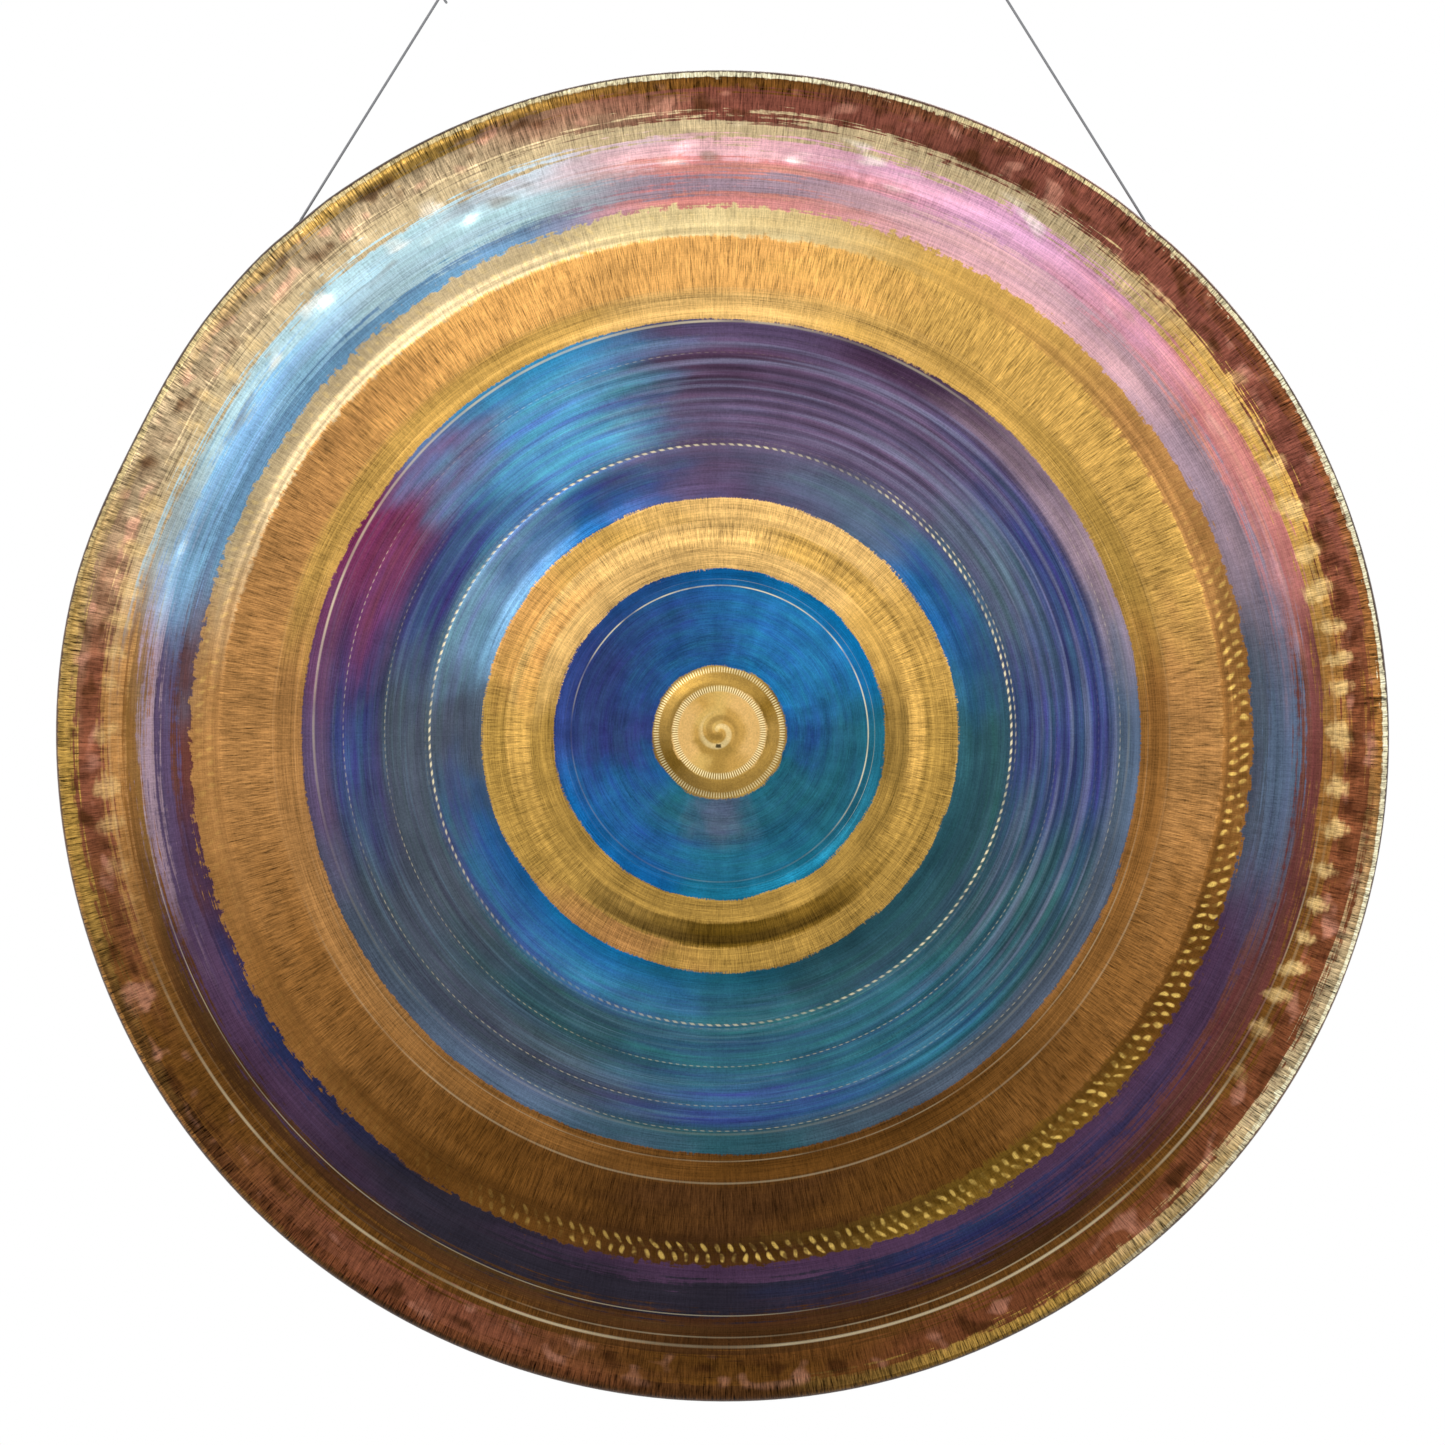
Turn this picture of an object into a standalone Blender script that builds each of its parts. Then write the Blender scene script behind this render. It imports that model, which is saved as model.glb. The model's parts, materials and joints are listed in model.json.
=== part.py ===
"""Tam tam gong, hung by two cords from two hooks that screw under a stand's beam.

Metres, +Z up. The gong's face looks along -Y and its open back along +Y. The origin lies
midway between the two hook plates, on the plane of their top faces.
"""
from math import acos, atan2, cos, hypot, pi, radians, sin, sqrt, tan

import bmesh
import bpy
from mathutils import Matrix, Vector

CLEARANCE = 0.0003            # gap left between pieces that touch

# Gong: one hammered bronze sheet with a shallow turned-back flange
GONG_DIAMETER = 0.810
SHEET = 0.0014
FLANGE_DEPTH = 0.046          # front plane of the rim to the back edge
FLANGE_LEAN = radians(8.0)    # the flange narrows towards its back edge
BEND_RADIUS = 0.009
FACE_BULGE = 0.010            # how far the middle stands in front of the rim
GONG_STEPS = 64
BEND_STEPS = 5

# Raised features of the face, as radii from the centre
BOSS_TOP_RADIUS = 0.029
BOSS_FOOT_RADIUS = 0.0405
BOSS_HEIGHT = 0.0035
INNER_RING_CROWN = (0.100, 0.1435)
INNER_RING_HEIGHT = 0.003
# Raised features near the rim, as distances in from the rim's edge
OUTER_RING_CROWN = (0.152, 0.1023)
OUTER_RING_HEIGHT = 0.003
RIM_RING_CROWN = (0.054, 0.030)
RIM_RING_HEIGHT = 0.002
RING_SLOPE = 0.0075           # width of the slope at each side of a raised ring
RIM_RING_INNER_SLOPE = 0.030
RIM_RING_MARGIN = 0.0015      # flat left between the rim's ring and its bend

# Holes through the flange for the cords, and their rubber grommets
HOLE_ANGLE = radians(39.375)  # each side of the top, the middle of a facet
HOLE_SETBACK = 0.016          # behind the front plane of the rim
HOLE_RADIUS = 0.0033
HOLE_STEPS = 24
GROMMET_BORE_ROOM = 0.0014    # between the cord and the grommet's throat
GROMMET_LIP_WIDTH = 0.0013
GROMMET_LIP_HEIGHT = 0.0009
GROMMET_THROAT_FLARE = 0.0015
GROMMET_STEPS = 24

# Cords
CORD_DIAMETER = 0.0016
CORD_DROP = 0.158             # hook bowl's bottom to the rim holes
KNOT_RADIUS = 0.0024
KNOT_LENGTH = 0.008
KNOT_EDGE = 0.0011            # rounding of a knot's ends
KNOT_STEPS = 20
STOPPER_DEPTH = 0.00195       # stopper knot's top, inside the middle of the sheet
EYE_LENGTH = 0.014            # hook wire's middle to the loop knot
# Route through the grommet, as (towards the gong's top, outwards) from the hole's middle
CORD_AT_HOLE = ((0.0, -0.0016), (0.0001, -0.0009), (0.00045, 0.0002), (0.00135, 0.00175), (0.0030, 0.00285))
CORD_POINT_SPACING = 0.004

# Hooks and their plates
HOOK_SPACING = 0.318
HOOK_WIRE = 0.004
HOOK_BOWL_RADIUS = 0.010      # to the middle of the wire
HOOK_NECK_RADIUS = 0.005
HOOK_NECK_LENGTH = 0.004      # straight wire below the plate
HOOK_TIP_ANGLE = radians(25.0)
HOOK_TIP_ROUNDING = (radians(30), radians(55), radians(75))
HOOK_HEAD_RADIUS = 0.0034     # peened end in the plate's countersink
HOOK_HEAD_HEIGHT = 0.0016
PLATE_RADIUS = 0.016
PLATE_THICKNESS = 0.0025
PLATE_EDGE = 0.0006
SCREW_OFFSET = 0.0105
SCREW_HOLE_RADIUS = 0.0019
SCREW_HEAD_RADIUS = 0.0037
PLATE_STEPS = 48

MM = 0.001
SIDES = (("left", -1), ("right", 1))
IDENTITY = Matrix.Identity(4)


# ---------------------------------------------------------------- shared modelling

def make_material(name, color, roughness, metallic):
    material = bpy.data.materials.new(name)
    material.use_nodes = True
    material.diffuse_color = (*color, 1.0)
    shader = material.node_tree.nodes["Principled BSDF"]
    shader.inputs["Base Color"].default_value = (*color, 1.0)
    shader.inputs["Roughness"].default_value = roughness
    shader.inputs["Metallic"].default_value = metallic
    return material


def add_object(name, data, material=None, matrix=IDENTITY, parent=None, parent_matrix=IDENTITY):
    """Link an object at a world matrix, held by its parent without moving."""
    obj = bpy.data.objects.new(name, data)
    bpy.context.scene.collection.objects.link(obj)
    if material:
        data.materials.append(material)
    if parent:
        obj.parent = parent
        obj.matrix_parent_inverse = parent_matrix.inverted()
    obj.matrix_basis = matrix
    return obj


def arc(center, radius, start, end, count):
    """Points on an arc, ends included, angles in radians."""
    points = []
    for k in range(count + 1):
        angle = start + (end - start) * k / count
        points.append((center[0] + radius * cos(angle), center[1] + radius * sin(angle)))
    return points


def turned_mesh(name, profile, steps, closed, smooth_angle=radians(35)):
    """Turn (radius, height) points about local Z: a closed loop, or a line from axis to axis."""
    bm = bmesh.new()
    verts = [bm.verts.new((radius, 0.0, height)) for radius, height in profile]
    edges = [bm.edges.new(pair) for pair in zip(verts, verts[1:])]
    if closed:
        edges.append(bm.edges.new((verts[-1], verts[0])))
    bmesh.ops.spin(bm, geom=verts + edges, cent=(0, 0, 0), axis=(0, 0, 1), angle=2 * pi, steps=steps,
                   use_merge=True)
    bmesh.ops.remove_doubles(bm, verts=bm.verts, dist=1e-6)
    bmesh.ops.recalc_face_normals(bm, faces=bm.faces)
    return finish_mesh(name, bm, smooth_angle)


def finish_mesh(name, bm, smooth_angle):
    mesh = bpy.data.meshes.new(name)
    bm.to_mesh(mesh)
    bm.free()
    mesh.shade_smooth()
    mesh.set_sharp_from_angle(angle=smooth_angle)
    return mesh


def tube_curve(name, points, diameter, resolution=2, thickness=None):
    """A round wire or cord with filled ends; thickness scales it at each point."""
    curve = bpy.data.curves.new(name, "CURVE")
    curve.dimensions = "3D"
    curve.bevel_depth = diameter / 2
    curve.bevel_resolution = resolution
    curve.use_fill_caps = True
    spline = curve.splines.new("POLY")
    spline.points.add(len(points) - 1)
    for k, point in enumerate(points):
        spline.points[k].co = (*point, 1.0)
        spline.points[k].radius = thickness[k] if thickness else 1.0
    return curve


def smooth_curve(points, per_segment):
    """Points along a Catmull-Rom curve through the given vectors."""
    padded = [2 * points[0] - points[1], *points, 2 * points[-1] - points[-2]]
    curve = []
    for a, b, c, d in zip(padded, padded[1:], padded[2:], padded[3:]):
        for k in range(per_segment):
            t = k / per_segment
            linear = (c - a) * t
            square = (2 * a - 5 * b + 4 * c - d) * t ** 2
            cube = (3 * b - a - 3 * c + d) * t ** 3
            curve.append((2 * b + linear + square + cube) / 2)
    curve.append(points[-1])
    return curve


def cut(target, cutter):
    """Subtract a hidden cutter from a solid."""
    cutter.hide_render = True
    cutter.display_type = "WIRE"
    modifier = target.modifiers.new(cutter.name, "BOOLEAN")
    modifier.operation = "DIFFERENCE"
    modifier.solver = "EXACT"
    modifier.object = cutter


# ---------------------------------------------------------------- the gong's own shape

GONG_RADIUS = GONG_DIAMETER / 2
FACE_RADIUS = GONG_RADIUS - BEND_RADIUS


def raised_rings():
    """(inner foot, inner crown, outer crown, outer foot, height) of each raised ring."""
    outer = [GONG_RADIUS - inset for inset in OUTER_RING_CROWN]
    rim = [GONG_RADIUS - inset for inset in RIM_RING_CROWN]
    inner = INNER_RING_CROWN
    return (
        (inner[0] - RING_SLOPE, inner[0], inner[1], inner[1] + RING_SLOPE, INNER_RING_HEIGHT),
        (outer[0] - RING_SLOPE, outer[0], outer[1], outer[1] + RING_SLOPE, OUTER_RING_HEIGHT),
        (rim[0] - RIM_RING_INNER_SLOPE, rim[0], rim[1], FACE_RADIUS - RIM_RING_MARGIN, RIM_RING_HEIGHT),
    )


def ramp(value, low, high):
    return min(max((value - low) / (high - low), 0.0), 1.0)


def face_height(radius):
    """How far the outside of the face stands in front of the rim's front plane."""
    height = FACE_BULGE * (1.0 - (radius / FACE_RADIUS) ** 2)
    height += BOSS_HEIGHT * (1.0 - ramp(radius, BOSS_TOP_RADIUS, BOSS_FOOT_RADIUS))
    for inner_foot, inner_crown, outer_crown, outer_foot, rise in raised_rings():
        height += rise * (ramp(radius, inner_foot, inner_crown) - ramp(radius, outer_crown, outer_foot))
    return height


def gong_profile():
    """Outside of the sheet as (radius, y) from the centre of the face to the flange's back edge."""
    radii = [0.0, BOSS_TOP_RADIUS, BOSS_FOOT_RADIUS]
    inner, outer, rim = raised_rings()
    radii += inner[:4]
    radii.append((inner[3] + outer[0]) / 2)
    radii += outer[:4]
    radii += rim[:4]
    profile = [(radius, -face_height(radius)) for radius in sorted(radii)]
    for x, front in arc((FACE_RADIUS, -BEND_RADIUS), BEND_RADIUS, pi / 2, -FLANGE_LEAN, BEND_STEPS):
        profile.append((x, -front))
    profile.append((wall_radius(FLANGE_DEPTH), FLANGE_DEPTH))
    return profile


def wall_radius(y):
    """Radius of the outside of the flange's straight wall at a depth y behind the front plane."""
    start_radius = FACE_RADIUS + BEND_RADIUS * cos(FLANGE_LEAN)
    start_y = BEND_RADIUS * (1.0 + sin(FLANGE_LEAN))
    return start_radius - (y - start_y) * tan(FLANGE_LEAN)


def gong_balance_y():
    """Depth of the gong's centre of mass, from the area that each stretch of profile sweeps."""
    profile = gong_profile()
    area = moment = 0.0
    for (r0, y0), (r1, y1) in zip(profile, profile[1:]):
        swept = hypot(r1 - r0, y1 - y0) * (r0 + r1) / 2
        area += swept
        moment += swept * (y0 + y1) / 2
    return moment / area


def hole_frame(side):
    """Hole's middle in the gong's frame: X towards the gong's top, Z out through the wall."""
    angle = side * HOLE_ANGLE
    radial = Vector((sin(angle), 0.0, cos(angle)))
    outward = radial * cos(FLANGE_LEAN) + Vector((0.0, sin(FLANGE_LEAN), 0.0))
    to_top = Vector((-side * cos(angle), 0.0, side * sin(angle)))
    middle = radial * wall_radius(HOLE_SETBACK) * cos(pi / GONG_STEPS)
    middle.y = HOLE_SETBACK
    middle -= outward * SHEET / 2
    matrix = Matrix((to_top, outward.cross(to_top), outward)).transposed().to_4x4()
    matrix.translation = middle
    return matrix


# Heights of the hook, and the line that each joint turns about
NECK_END_Z = -PLATE_THICKNESS - HOOK_NECK_LENGTH
BOWL_Z = NECK_END_Z - sqrt((HOOK_BOWL_RADIUS + HOOK_NECK_RADIUS) ** 2 - HOOK_NECK_RADIUS ** 2)
BOWL_BOTTOM_Z = BOWL_Z - HOOK_BOWL_RADIUS
HOLE_Z = BOWL_BOTTOM_Z - CORD_DROP
HOLE_IN_GONG = hole_frame(1).translation
# The gong leans until its centre of mass hangs below its two holes
HANG_TILT = atan2(HOLE_IN_GONG.y - gong_balance_y(), HOLE_IN_GONG.z)

BOWL_LINE = Matrix.Translation((0.0, 0.0, BOWL_Z))
HOLE_LINE = Matrix.Translation((0.0, 0.0, HOLE_Z)) @ Matrix.Rotation(HANG_TILT, 4, "X")
GONG_PLACE = HOLE_LINE @ Matrix.Translation((0.0, -HOLE_IN_GONG.y, -HOLE_IN_GONG.z))


def make_gong(bronze, hole_line):
    """The sheet turned about the gong's own axis, given its thickness, and drilled twice."""
    bm = bmesh.new()
    start = Matrix.Rotation(pi / GONG_STEPS, 3, "Y")
    verts = [bm.verts.new(start @ Vector((0.0, y, radius))) for radius, y in gong_profile()]
    edges = [bm.edges.new(pair) for pair in zip(verts, verts[1:])]
    bmesh.ops.spin(bm, geom=verts + edges, cent=(0, 0, 0), axis=(0, 1, 0), angle=2 * pi, steps=GONG_STEPS,
                   use_merge=True)
    bmesh.ops.remove_doubles(bm, verts=bm.verts, dist=1e-6)
    bmesh.ops.recalc_face_normals(bm, faces=bm.faces)
    middle_face = min(bm.faces, key=lambda face: face.calc_center_median().y)
    if middle_face.normal.y > 0:
        bmesh.ops.reverse_faces(bm, faces=bm.faces)
    mesh = finish_mesh("gong_plate", bm, radians(30))
    gong = add_object("gong_plate", mesh, bronze, GONG_PLACE, hole_line, HOLE_LINE)
    solidify = gong.modifiers.new("sheet", "SOLIDIFY")
    solidify.thickness = SHEET
    solidify.offset = -1.0
    solidify.use_even_offset = True
    reach = 6 * SHEET
    hole = turned_mesh("hole_cutter", [(0, -reach), (HOLE_RADIUS, -reach), (HOLE_RADIUS, reach), (0, reach)],
                       HOLE_STEPS, False)
    for name, side in SIDES:
        cut(gong, add_object(name + "_hole_cutter", hole, None, GONG_PLACE @ hole_frame(side), hole_line,
                             HOLE_LINE))


def grommet_profile():
    """Closed section of a grommet as (radius, height), its lips gripping the sheet."""
    throat = CORD_DIAMETER / 2 + GROMMET_BORE_ROOM
    neck = HOLE_RADIUS - CLEARANCE
    seat = SHEET / 2 + CLEARANCE
    lip = HOLE_RADIUS + GROMMET_LIP_WIDTH
    top = seat + GROMMET_LIP_HEIGHT
    crest = lip - GROMMET_LIP_WIDTH * 0.7
    upper = [
        (neck, 0.0),
        (neck, seat),
        (lip, seat),
        (lip, seat + GROMMET_LIP_HEIGHT / 2),
        ((lip + crest) / 2, top),
        (crest, top),
        (throat + GROMMET_THROAT_FLARE * 0.6, seat + GROMMET_LIP_HEIGHT * 0.55),
        (throat + GROMMET_THROAT_FLARE * 0.25, seat * 0.85),
        (throat, 0.0),
    ]
    lower = [(radius, -height) for radius, height in reversed(upper[1:-1])]
    return upper + lower


def knot_profile():
    """Outside of a wrapped knot, from axis to axis, with rounded ends."""
    half = KNOT_LENGTH / 2
    edge = KNOT_RADIUS - KNOT_EDGE
    upper = arc((edge, half - KNOT_EDGE), KNOT_EDGE, 0.0, pi / 2, 4)
    lower = arc((edge, KNOT_EDGE - half), KNOT_EDGE, -pi / 2, 0.0, 4)
    return [(0.0, -half)] + lower + upper + [(0.0, half)]


def make_grommets(rubber, hole_line):
    mesh = turned_mesh("grommet", grommet_profile(), GROMMET_STEPS, True)
    mesh.materials.append(rubber)
    for name, side in SIDES:
        add_object(name + "_grommet", mesh, None, GONG_PLACE @ hole_frame(side), hole_line, HOLE_LINE)


# ---------------------------------------------------------------- cords

def hook_middle(side):
    """Middle of the hook's wire at the bottom of its bowl."""
    return Vector((side * HOOK_SPACING / 2, 0.0, BOWL_BOTTOM_Z))


def hole_route(side):
    """The cord's points where it comes through the grommet, in world coordinates."""
    place = GONG_PLACE @ hole_frame(side)
    return [place @ Vector((along, 0.0, out)) for along, out in CORD_AT_HOLE]


def cord_axes(side):
    """Direction from the hook down the cord, and the direction across it, seen from the front."""
    down = (hole_route(side)[-1] - hook_middle(side)).normalized()
    across = Vector((-down.z, 0.0, down.x)).normalized()
    return down, across


def cord_points(side):
    """From the stopper knot's top, through the grommet, and straight up to the loop knot."""
    down, _ = cord_axes(side)
    top = hook_middle(side) + down * (EYE_LENGTH + KNOT_LENGTH + CLEARANCE)
    points = hole_route(side)
    straight = top - points[-1]
    count = round(straight.length / CORD_POINT_SPACING)
    bend_end = points[-1] + straight / count
    points = smooth_curve(points + [bend_end], 4)
    for k in range(2, count + 1):
        points.append(bend_end + (top - bend_end) * (k - 1) / (count - 1))
    return points


def eye_points(side):
    """A loop round the hook's wire whose two legs close up on the loop knot."""
    down, across = cord_axes(side)
    middle = hook_middle(side)
    ring = HOOK_WIRE / 2 + CLEARANCE + CORD_DIAMETER / 2
    leg = (EYE_LENGTH - CLEARANCE, (CORD_DIAMETER + CLEARANCE) / 2)
    touch = atan2(leg[1], leg[0]) + acos(ring / hypot(*leg))
    loop = arc((0.0, 0.0), ring, touch, 2 * pi - touch, 20)
    flat = [(leg[0], leg[1]), *loop, (leg[0], -leg[1])]
    return [middle + down * along + across * aside for along, aside in flat]


def make_cords(nylon, bowl_line):
    knot_mesh = turned_mesh("knot", knot_profile(), KNOT_STEPS, False)
    knot_mesh.materials.append(nylon)
    for name, side in SIDES:
        down, across = cord_axes(side)
        cord = tube_curve(name + "_cord", cord_points(side), CORD_DIAMETER)
        add_object(name + "_cord", cord, nylon, IDENTITY, bowl_line, BOWL_LINE)
        eye = tube_curve(name + "_eye_loop", eye_points(side), CORD_DIAMETER)
        add_object(name + "_eye_loop", eye, nylon, IDENTITY, bowl_line, BOWL_LINE)
        turn = down.to_track_quat("Z", "Y").to_matrix().to_4x4()
        turn.translation = hook_middle(side) + down * (EYE_LENGTH + KNOT_LENGTH / 2)
        add_object(name + "_loop_knot", knot_mesh, None, turn, bowl_line, BOWL_LINE)
        inside = Matrix.Translation((0.0, 0.0, -STOPPER_DEPTH - KNOT_LENGTH / 2))
        place = GONG_PLACE @ hole_frame(side) @ inside
        add_object(name + "_stopper_knot", knot_mesh, None, place, bowl_line, BOWL_LINE)


# ---------------------------------------------------------------- hooks and plates

def hook_points():
    """Wire's middle line in the YZ plane, from the peened head to the tip, and its thickness."""
    fillet = (-HOOK_NECK_RADIUS, NECK_END_Z)
    turn = atan2(NECK_END_Z - BOWL_Z, -HOOK_NECK_RADIUS)
    path = [(0.0, -CLEARANCE), (0.0, -CLEARANCE - HOOK_HEAD_HEIGHT)]
    path += arc(fillet, HOOK_NECK_RADIUS, 0.0, turn - pi, 5)
    path += arc((0.0, BOWL_Z), HOOK_BOWL_RADIUS, turn, 2 * pi + HOOK_TIP_ANGLE, 26)[1:]
    thickness = [1.0] * len(path)
    thickness[0] = HOOK_HEAD_RADIUS / (HOOK_WIRE / 2)
    tip_y, tip_z = path[-1]
    heading = HOOK_TIP_ANGLE + pi / 2
    for rounding in HOOK_TIP_ROUNDING:
        reach = HOOK_WIRE / 2 * sin(rounding)
        path.append((tip_y + reach * cos(heading), tip_z + reach * sin(heading)))
        thickness.append(cos(rounding))
    return path, thickness


def plate_profile():
    """Closed section of a hook plate, with a countersink round the hook's peened head."""
    slope = (HOOK_HEAD_RADIUS - HOOK_WIRE / 2) / HOOK_HEAD_HEIGHT
    gap = CLEARANCE * sqrt(1.0 + slope ** 2)
    mouth = HOOK_HEAD_RADIUS + slope * CLEARANCE + gap
    bore = HOOK_WIRE / 2 + CLEARANCE
    depth = (mouth - bore) / slope
    return [
        (bore, -PLATE_THICKNESS),
        (PLATE_RADIUS - PLATE_EDGE, -PLATE_THICKNESS),
        (PLATE_RADIUS, PLATE_EDGE - PLATE_THICKNESS),
        (PLATE_RADIUS, 0.0),
        (mouth, 0.0),
        (bore, -depth),
    ]


def screw_cutter_profile():
    """A through hole with a countersink that opens on the plate's lower face."""
    below = -PLATE_THICKNESS - MM
    sink = SCREW_HEAD_RADIUS - SCREW_HOLE_RADIUS
    return [
        (0.0, below),
        (SCREW_HEAD_RADIUS, below),
        (SCREW_HEAD_RADIUS, -PLATE_THICKNESS),
        (SCREW_HOLE_RADIUS, sink - PLATE_THICKNESS),
        (SCREW_HOLE_RADIUS, MM),
        (0.0, MM),
    ]


def make_hooks(steel):
    path, thickness = hook_points()
    plate_mesh = turned_mesh("hook_plate", plate_profile(), PLATE_STEPS, True)
    plate_mesh.materials.append(steel)
    cutter_mesh = turned_mesh("screw_cutter", screw_cutter_profile(), HOLE_STEPS, False)
    for name, side in SIDES:
        at_plate = Matrix.Translation((side * HOOK_SPACING / 2, 0.0, 0.0))
        wire = tube_curve(name + "_hook", [(0.0, y, z) for y, z in path], HOOK_WIRE, 4, thickness)
        add_object(name + "_hook", wire, steel, at_plate)
        plate = add_object(name + "_hook_plate", plate_mesh, None, at_plate)
        for end in (-1, 1):
            aside = Matrix.Translation((end * SCREW_OFFSET, 0.0, 0.0))
            cutter_name = "{}_screw_cutter_{}".format(name, "outer" if end == side else "inner")
            cut(plate, add_object(cutter_name, cutter_mesh, None, at_plate @ aside))


def main():
    for obj in list(bpy.data.objects):
        bpy.data.objects.remove(obj, do_unlink=True)
    bronze = make_material("bronze", (0.60, 0.42, 0.18), 0.32, 1.0)
    rubber = make_material("rubber", (0.03, 0.03, 0.03), 0.75, 0.0)
    nylon = make_material("nylon", (0.42, 0.42, 0.43), 0.55, 0.0)
    steel = make_material("steel", (0.72, 0.72, 0.73), 0.25, 1.0)
    bowl_line = add_object("bowl_line", None, None, BOWL_LINE)
    hole_line = add_object("hole_line", None, None, HOLE_LINE, bowl_line, BOWL_LINE)
    make_gong(bronze, hole_line)
    make_grommets(rubber, hole_line)
    make_cords(nylon, bowl_line)
    make_hooks(steel)


main()
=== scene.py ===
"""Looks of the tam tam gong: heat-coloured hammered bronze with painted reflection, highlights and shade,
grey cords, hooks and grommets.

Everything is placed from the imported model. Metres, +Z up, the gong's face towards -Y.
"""
import json
from math import acos, atan2, cos, hypot, pi, radians, sin, sqrt

import bmesh
import bpy
import numpy as np
from mathutils import Matrix, Vector


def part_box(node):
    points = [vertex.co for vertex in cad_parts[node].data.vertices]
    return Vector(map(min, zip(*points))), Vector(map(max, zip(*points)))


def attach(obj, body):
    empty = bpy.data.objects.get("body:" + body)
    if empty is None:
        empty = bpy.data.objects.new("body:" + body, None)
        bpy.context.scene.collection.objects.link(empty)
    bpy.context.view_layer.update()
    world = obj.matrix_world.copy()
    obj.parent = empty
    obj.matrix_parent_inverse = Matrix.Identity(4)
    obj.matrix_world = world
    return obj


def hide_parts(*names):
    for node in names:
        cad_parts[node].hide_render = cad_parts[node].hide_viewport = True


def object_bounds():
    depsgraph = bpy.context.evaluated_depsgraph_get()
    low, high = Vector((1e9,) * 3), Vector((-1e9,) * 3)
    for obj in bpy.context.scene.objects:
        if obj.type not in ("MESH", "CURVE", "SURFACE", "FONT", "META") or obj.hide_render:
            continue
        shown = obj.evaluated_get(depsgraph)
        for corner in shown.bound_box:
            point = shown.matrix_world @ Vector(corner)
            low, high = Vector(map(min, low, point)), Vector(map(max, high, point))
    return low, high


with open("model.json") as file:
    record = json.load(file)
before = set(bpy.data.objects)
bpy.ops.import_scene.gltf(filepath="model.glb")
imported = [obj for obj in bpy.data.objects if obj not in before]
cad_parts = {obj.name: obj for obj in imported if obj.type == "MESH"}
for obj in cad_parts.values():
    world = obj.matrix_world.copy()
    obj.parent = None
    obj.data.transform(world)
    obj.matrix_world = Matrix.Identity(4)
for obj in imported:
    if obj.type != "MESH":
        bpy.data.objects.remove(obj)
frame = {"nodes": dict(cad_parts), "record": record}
cad_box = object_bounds()

# ---------------------------------------------------------------- sizes shared with the CAD

GONG_RADIUS = 0.405
SHEET = 0.0014
FLANGE_DEPTH = 0.046
FLANGE_LEAN = radians(8.0)
BEND_RADIUS = 0.009
FACE_RADIUS = GONG_RADIUS - BEND_RADIUS
FACE_BULGE = 0.010
BOSS = (0.029, 0.0405, 0.0035)              # top radius, foot radius, height
CAD_FACETS = 64
HOLE_ANGLE = radians(39.375)
HOLE_SETBACK = 0.016
HOLE_RADIUS = 0.0033
CLEARANCE = 0.0003
CORD_RADIUS = 0.0008
HOOK_WIRE_RADIUS = 0.002
HOOK_BOWL_RADIUS = 0.010
EYE_LENGTH = 0.014
KNOT_LENGTH = 0.008
STOPPER_DEPTH = 0.00195
BORE_ROOM = 0.0014                           # grommet's bore over the cord's radius
LIP_WIDTH = 0.0013
LIP_HEIGHT = 0.0009
HOOK_NECK_RADIUS = 0.005
HOOK_TIP_ANGLE = radians(25.0)
HOOK_HEAD_HEIGHT = 0.0016
PLATE_RADIUS = 0.016
PLATE_THICKNESS = 0.0025
SCREW_OFFSET = 0.0105
SCREW_HEAD_RADIUS = 0.0037
SCREW_HOLE_RADIUS = 0.0019
# The cord's route through a grommet, as (towards the gong's top, outwards) from the hole's middle
CORD_AT_HOLE = ((0.0, -0.0016), (0.0001, -0.0009), (0.00045, 0.0002), (0.00135, 0.00175), (0.0030, 0.00285))
SIDES = (("left", -1), ("right", 1))

# Raised rings of the face: inner foot, inner crown, outer crown, outer foot, height
RAISED_RINGS = (
    (0.0925, 0.100, 0.1435, 0.151, 0.003),
    (0.2455, 0.253, 0.3027, 0.3102, 0.003),
    (0.321, 0.351, 0.375, 0.3945, 0.002),
)
# The turner's rings wander off the rim's centre towards the middle
RING_DRIFT = (-0.0022, 0.0070)


def joint_point(name):
    for joint in frame["record"]["behaviour"]["joints"]:
        if joint["name"] == name:
            return Vector(joint["pos_m"])
    raise ValueError(name)


def gong_frame():
    """World matrix of the gong's frame: X right, Y back along its axis, origin in the rim's front."""
    mesh = frame["nodes"]["gong_plate"].data
    points = np.array([vertex.co for vertex in mesh.vertices])
    middle = (points.max(axis=0) + points.min(axis=0)) / 2
    for reach in (0.9, 0.998):
        spread = np.hypot(points[:, 0] - middle[0], points[:, 2] - middle[2])
        rim = points[spread > reach * spread.max()]
        axis = np.linalg.svd(rim - rim.mean(axis=0))[2][2]
        axis = axis if axis[1] > 0 else -axis
    axis[0] = 0.0
    back = Vector(axis).normalized()
    up = Vector((1, 0, 0)).cross(back)
    depth = points @ np.array(back)
    height = points @ np.array(up)
    front = depth.min() + FACE_BULGE + BOSS[2]
    origin = back * front + up * (height.max() + height.min()) / 2
    matrix = Matrix((Vector((1, 0, 0)), back, up)).transposed().to_4x4()
    matrix.translation = origin
    return matrix


GONG = gong_frame()
BOWL_LINE = joint_point("cord_swing")
HOOK_X = (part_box("right_hook_plate")[0][0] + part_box("right_hook_plate")[1][0]) / 2


# ---------------------------------------------------------------- camera, light and stage

VIEW_WIDTH = 0.874225                        # width of the view at the gong
CAMERA_RISE = 0.0118                         # the camera's height over the gong's centre
CAMERA_DISTANCE = 2.6
SOFT_LIGHT = 0.55                            # the room's light on dull surfaces


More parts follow.
